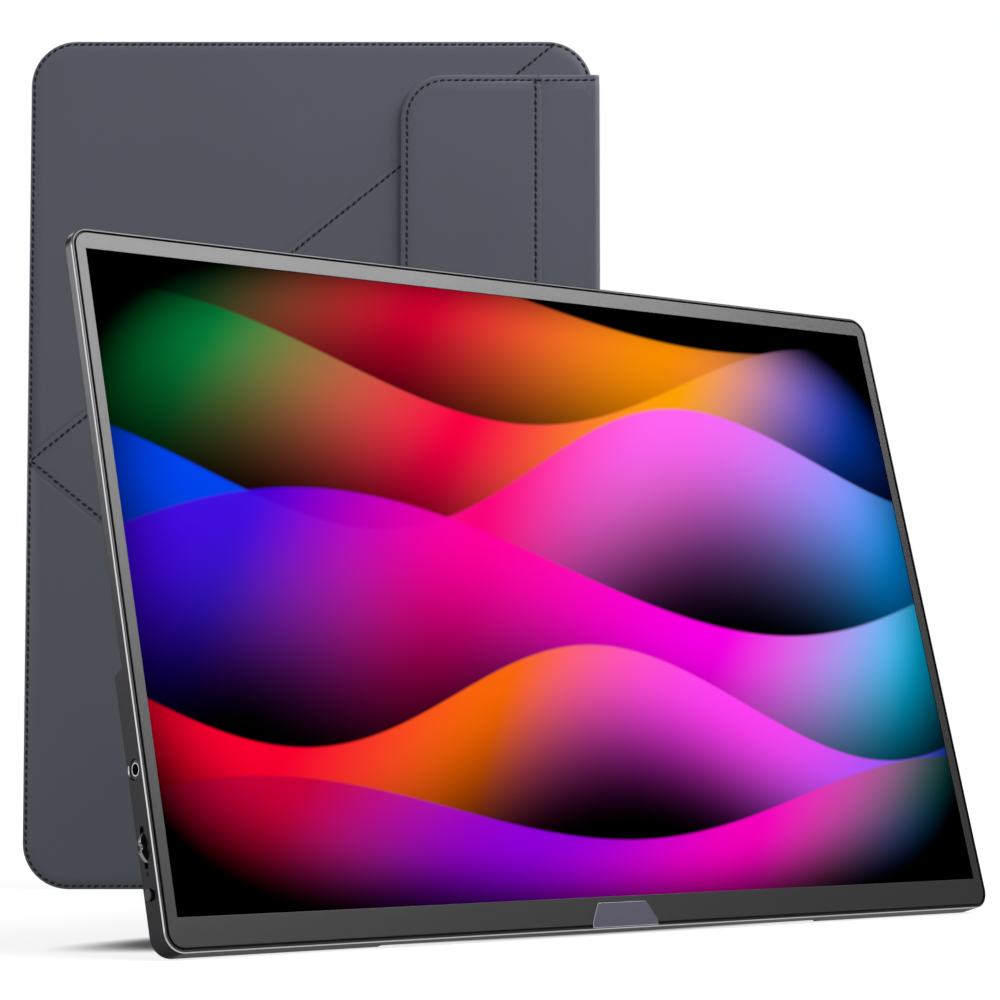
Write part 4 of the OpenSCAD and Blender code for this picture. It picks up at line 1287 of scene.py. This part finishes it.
    def add_leather(self, leaf: Leaf) -> None:
        """Make a leaf's leather, wrapped round its edge.

        Args:
            leaf: the leaf.
        """
        rings = []
        count = len(leaf.outline.points)
        kinds = leaf.outline.kinds
        for sewn, sewn_z, fold, fold_z in self.profile(leaf.base_mm, leaf.thick_mm, leaf.stitch_mm):
            flat = leaf.outline.inset(sewn, fold)
            ring = []
            for k in range(count):
                around = (kinds[k - 1], kinds[k])
                z = fold_z if all(e is Edge.FOLD for e in around) else sewn_z
                ring.append((*flat[k], z))
            rings.append(ring)
        obj = smooth(loft(leaf.name + "_leather", self.axes, rings))
        hand_over(obj, leaf.body, self.finishes["cover_leather"], (leaf.name + "_skin",))

    def add_lining(self, leaf: Leaf) -> None:
        """Make a leaf's lining, set a little in from the edge.

        Args:
            leaf: the leaf.
        """
        b, t = leaf.base_mm, self.lining_t
        steps = [(1.3, 0.3, b), (1.0, 0.1, b + 0.05), (0.9, 0.02, b + t * 0.5), (0.95, 0.02, b + t)]
        rings = [[(*p, z) for p in leaf.outline.inset(sewn, fold)] for sewn, fold, z in steps]
        obj = smooth(loft(leaf.name + "_backing", self.axes, rings))
        hand_over(obj, leaf.body, self.finishes["cover_lining"], (leaf.name + "_lining",))

    def add_thread(self, leaf: Leaf) -> None:
        """Sew round a leaf's free edges, and along the fold that it carries.

        Args:
            leaf: the leaf.
        """
        face = leaf.base_mm + self.lining_t + self.groove_z + self.thread_lift
        lines = [[self.axes.at(*p, face) for p in line] for line in leaf.outline.sewn_runs(leaf.stitch_mm)]
        top = leaf.base_mm + leaf.thick_mm + self.thread_lift
        if leaf.name == "centre":
            for upper in (True, False):
                a, b = self.beside_fold(-self.fold_stitch, upper)
                shares = (self.fold_sewn_from, self.fold_sewn / self.panel_h)
                lines.append([self.axes.at(*between(a, b, share), top) for share in shares])
        if leaf.name == "flap":
            x = self.flap_line - self.line_stitch
            ends = (self.flap_inset + self.line_stop, self.panel_h - self.flap_inset - self.line_stop)
            lines.append([self.axes.at(x, y, top) for y in ends])
        obj = self.stitching.sew(leaf.name + "_thread", lines, self.axes.out, self.finishes["thread"])
        hand_over(obj, leaf.body, None)

    def face_at(self, leaf_t: float, base: float, depth: float, stitch: float) -> float:
        """Return the height of a leaf's face at a distance in from a sewn edge.

        Args:
            leaf_t: the leaf's thickness.
            base: height of the leaf's back.
            depth: distance in from the edge.
            stitch: distance of the thread from the edge.

        Returns:
            The height in millimetres.
        """
        steps = self.profile(base, leaf_t, stitch)[3:]
        for (d0, z0, _, _), (d1, z1, _, _) in zip(steps, steps[1:]):
            if depth <= d1:
                share = 0.0 if d1 == d0 else max(0.0, (depth - d0) / (d1 - d0))
                return z0 + share * (z1 - z0)
        return steps[-1][1]

    def bridge(self, name: str, start: Point, run: Point, slab: Slab,
               leaf: tuple[float, float, float]) -> bpy.types.Object:
        """Make a thin strip of leather along a fold, with many facets across it and ends cut along the edge.

        Args:
            name: the piece's name.
            start: a point on the fold near its first end.
            run: unit direction along the fold.
            slab: the outline that the strip ends on.
            leaf: thickness, base height and thread inset of the leaves beside it.

        Returns:
            The strip.
        """
        thick, base, stitch = leaf
        side = (-run[1], run[0])
        ends = [0.0, 0.01, 0.02, 0.035, 0.055, 0.08]
        stops = ends + [0.08 + 0.84 * k / 24 for k in range(1, 24)] + [1.0 - e for e in reversed(ends)]
        across = [self.fold_reach * (k / 6 - 1) for k in range(13)]
        inwards = 100.0
        lines = []
        for a in across:
            first = (start[0] + side[0] * a, start[1] + side[1] * a)
            middle = (first[0] + run[0] * inwards, first[1] + run[1] * inwards)
            lines.append((slab.leave(middle, (-run[0], -run[1]), self.strip_end),
                          slab.leave(middle, run, self.strip_end)))
        rings = []
        for share in stops:
            upper, under = [], []
            for a, (first, last) in zip(across, lines):
                x, y = between(first, last, share)
                top = self.face_at(thick, base, slab.depth(x, y), stitch) - self.fold_dip
                upper.append((x, y, top - 0.2 * abs(a / self.fold_reach) ** 4))
                under.append((x, y, max(base + self.lining_t * 0.6, top - self.fold_skin)))
            rings.append(upper + under[::-1])
        strip = smooth(loft(name, self.axes, rings))
        dress(strip.data, self.finishes["cover_leather"])
        return strip

    def add_diagonal(self, upper: bool) -> None:
        """Bridge a diagonal fold with a strip of leather.

        Args:
            upper: whether it is the upper fold.
        """
        sign = 1 if upper else -1
        run = (self.run[0], sign * self.run[1])
        name = "upper_fold_leather" if upper else "lower_fold_leather"
        panel = Slab((0.0, 0.0), (self.panel_w, self.panel_h), self.panel_r)
        strip = self.bridge(name, self.apex, run, panel, (self.panel_t, 0.0, self.panel_stitch))
        half = self.gap / 2
        side = (-self.run[1], sign * self.run[0])
        start = self.axes.at(self.apex[0] - side[0] * half, self.apex[1] - side[1] * half, self.panel_t)
        end = self.axes.at(self.apex[0] + side[0] * half, self.apex[1] + side[1] * half, self.panel_t)
        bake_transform(strip)
        note(strip, (), "the fold")

    def add_flap_fold(self) -> None:
        """Bridge the flap's sewn line with a strip of leather."""
        beyond = 200.0
        wide = Slab((self.flap_line - beyond, self.flap_inset),
                    (self.flap_line + beyond, self.panel_h - self.flap_inset), 0.0)
        strip = self.bridge("flap_fold_leather", (self.flap_line, self.flap_inset + 1.0), (0.0, 1.0), wide,
                            (self.flap_t, self.flap_z, self.flap_stitch))
        half, top = self.gap / 2, self.flap_z + self.flap_t
        self.axes.at(self.flap_line + half, self.apex[1], top)
        self.axes.at(self.flap_line - half, self.apex[1], top)
        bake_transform(strip)
        note(strip, (), "the flap's line")

    def add_spine(self) -> None:
        """Wrap the leather round the spine, from the panel's back to the flap's front."""
        r = (self.flap_z + self.flap_t) / 2
        low, high = self.flap_inset, self.panel_h - self.flap_inset
        near = [0.0, 0.15, 0.5, 1.0, 1.6, 2.5, 3.0, 4.1, 5.5, 7.5, 10.5]
        inner_h = high - low - 2 * near[-1]
        heights = [low + d for d in near] + [low + near[-1] + inner_h * k / 30 for k in range(1, 30)]
        heights += [high - d for d in reversed(near)]
        turn = [math.radians(-90 + 7.5 * k) for k in range(25)]
        lap, lift = 4.5, 0.03
        lead = [(self.spine - lap, -lift), (self.spine - 3.0, 0.01), (self.spine - 1.5, lift)]
        rings = []
        for y in heights:
            sunk = 2 * r - self.face_at(self.flap_t, self.flap_z, min(y - low, high - y), self.flap_stitch)
            reach = r + lift - 0.3 * min(sunk, 0.6)
            ring = [(x, -z) for x, z in lead]
            ring += [(self.spine + reach * math.cos(a), r + (r + lift) * math.sin(a) - sunk * max(0.0, math.sin(a)))
                     for a in turn]
            ring += [(x, 2 * r + z - sunk) for x, z in reversed(lead)]
            inner = [(self.spine - lap, 2 * r - self.skin_t - sunk)]
            inner += [(self.spine + (reach - self.skin_t) * math.cos(a), r + (r - self.skin_t) * math.sin(a)
                       - sunk * max(0.0, math.sin(a))) for a in reversed(turn)]
            inner += [(self.spine - lap, self.skin_t)]
            rings.append([(x, y, z) for x, z in ring + inner])
        obj = smooth(loft("spine_leather", self.axes, rings))
        dress(obj.data, self.finishes["cover_leather"])
        self.axes.at(self.spine, self.apex[1], 0.3)
        self.axes.at(self.spine, self.apex[1], 2 * r - 0.3)
        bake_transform(obj)
        note(obj, ("spine_fold",), "the spine")


# The studio


@dataclass(frozen=True)
class Lamp:
    """A square softbox."""

    name: str
    place: Place
    target: Place
    size: float
    power: float

    def hang(self) -> None:
        """Hang the lamp so that it faces its target."""
        data = bpy.data.lights.new(self.name, "AREA")
        data.shape = "RECTANGLE"
        data.size, data.size_y, data.energy = self.size, self.size, self.power
        lamp = linked(self.name, data)
        lamp.location = self.place
        lamp.rotation_euler = (Vector(self.target) - Vector(self.place)).to_track_quat("-Z", "Y").to_euler()


def ray_kinds(t: Tree) -> tuple[bpy.types.NodeSocket, bpy.types.NodeSocket]:
    """Tell apart the rays that see a surface.

    Args:
        t: the tree helper to add the nodes to.

    Returns:
        The mask of camera rays, and the mask of rays in a reflection or through glass.
    """
    rays = t.add("ShaderNodeLightPath")
    mirrored = t.math("MAXIMUM", rays.outputs["Is Glossy Ray"], rays.outputs["Is Transmission Ray"])
    return rays.outputs["Is Camera Ray"], mirrored


@dataclass
class Studio:
    """Floor, world, lamps and camera."""

    camera_place: Place = (-0.6405, -0.7635, 0.0708)
    camera_turn: float = 38.32
    camera_tilt: float = 4.30
    lens: float = 105.6
    sensor: float = 36.0
    floor_size: float = 30.0
    floor_color: float = 0.2
    floor_glow: float = 0.8
    floor_clear: tuple[float, float] = (0.45, 1.1)
    # Middle, reach and rim of the oval under the screen where the floor's glow is left out: a painted shade.
    painted_shade_middle: Place = (0.0, 0.035, 0.0)
    painted_shade_reach: tuple[float, float] = (0.165, 0.045)
    painted_shade_rim: tuple[float, float] = (0.9, 1.15)
    fill: float = 0.25
    ceiling: float = 0.245
    ceiling_rise: tuple[float, float] = (0.087, 0.287)
    lamps: tuple[Lamp, ...] = (
        Lamp("key_softbox", (0.544, -0.666, 1.201), (0.0, 0.0, 0.14), 1.0, 37.0),
        Lamp("side_softbox", (-1.62, -1.05, 0.95), (-0.1, 0.05, 0.16), 1.2, 7.0),
        Lamp("rim_softbox", (-0.98, 1.00, 0.50), (-0.17, 0.0, 0.15), 0.5, 9.0),
        Lamp("back_softbox", (0.60, 1.90, 1.30), (0.0, 0.2, 0.15), 1.0, 16.0),
    )

    def build(self) -> None:
        """Set the stage."""
        self.add_floor()
        self.light_world()
        for lamp in self.lamps:
            lamp.hang()
        self.add_camera()
        bpy.context.scene.view_settings.view_transform = "Standard"

    def add_floor(self) -> None:
        """Lay a pale floor that glows white to the eye, save in an oval under the screen, where the glow is left out as
        a painted shade.
        """
        s = self.floor_size / 2
        corners = [Vector(p) for p in ((-s, -s, 0), (s, -s, 0), (s, s, 0), (-s, s, 0))]
        floor = new_object("floor", corners, [(0, 1, 2, 3)])
        material, t, shader = new_material("pale_floor")
        t.fill(shader, {"Base Color": (self.floor_color, self.floor_color, self.floor_color), "Roughness": 0.9,
                        "Specular IOR Level": 0.0})
        place = t.add("ShaderNodeTexCoord").outputs["Object"]
        far = t.smoothstep(t.vector("LENGTH", place).outputs["Value"], *self.floor_clear)
        level = t.math("ADD", self.floor_glow, t.math("MULTIPLY", far, 1.0 - self.floor_glow))
        # Painted shade: the glow fades to nothing in an oval under the screen, so the floor there, and its reflection
        # in the underside, stay dark.
        across, along = self.painted_shade_reach
        under = t.vector("SUBTRACT", place, self.painted_shade_middle).outputs[0]
        shaped = t.vector("MULTIPLY", under, (1 / across, 1 / along, 1.0)).outputs[0]
        clear = t.vector("LENGTH", shaped).outputs["Value"]
        level = t.math("MULTIPLY", level, t.smoothstep(clear, *self.painted_shade_rim))
        strength = t.math("MULTIPLY", t.math("MAXIMUM", *ray_kinds(t)), level)
        glow = t.add("ShaderNodeEmission", {"Color": (1.0, 1.0, 1.0), "Strength": strength})
        both = t.add("ShaderNodeAddShader", {0: shader.outputs[0], 1: glow.outputs[0]})
        t.fill(t.find("OUTPUT_MATERIAL"), {"Surface": both.outputs[0]})
        dress(floor.data, material)

    def light_world(self) -> None:
        """Fill with even light, white to the camera, and a white backdrop under a dim ceiling in reflections."""
        world = bpy.data.worlds.new("studio_white")
        world.use_nodes = True
        bpy.context.scene.world = world
        t = Tree(world.node_tree)
        back = t.find("BACKGROUND")
        t.fill(back, {"Color": (1.0, 1.0, 1.0)})
        where = t.add("ShaderNodeSeparateXYZ", {0: t.add("ShaderNodeTexCoord").outputs["Generated"]})
        high = t.smoothstep(where.outputs["Z"], *self.ceiling_rise)
        camera, mirrored = ray_kinds(t)
        backdrop = t.math("SUBTRACT", 1.0, t.math("MULTIPLY", high, 1.0 - self.ceiling))
        level = t.math("ADD", self.fill, t.math("MULTIPLY", camera, 1.0 - self.fill))
        extra = t.math("MULTIPLY", mirrored, t.math("SUBTRACT", backdrop, self.fill))
        t.feed(back.inputs["Strength"], t.math("ADD", level, extra))

    def add_camera(self) -> None:
        """Put the camera where the photograph was taken from."""
        data = bpy.data.cameras.new("camera")
        data.lens, data.sensor_width = self.lens, self.sensor
        camera = linked("camera", data)
        camera.location = self.camera_place
        camera.rotation_euler = (math.radians(90 + self.camera_tilt), 0.0, math.radians(-self.camera_turn))
        bpy.context.scene.camera = camera


def main() -> None:
    """Dress the screen and the cover, and light them."""
    logging.basicConfig(level=logging.INFO, format="%(message)s")
    screen_place, cover_place = screen_axes(BEZEL_TOP_MM, DISPLAY_MM[1]), cover_axes()
    finishes = Finishes(screen_place, cover_place)
    Screen(finishes, screen_place).build()
    Cover(finishes, cover_place).build()
    Studio().build()


if __name__ == "__main__":
    main()
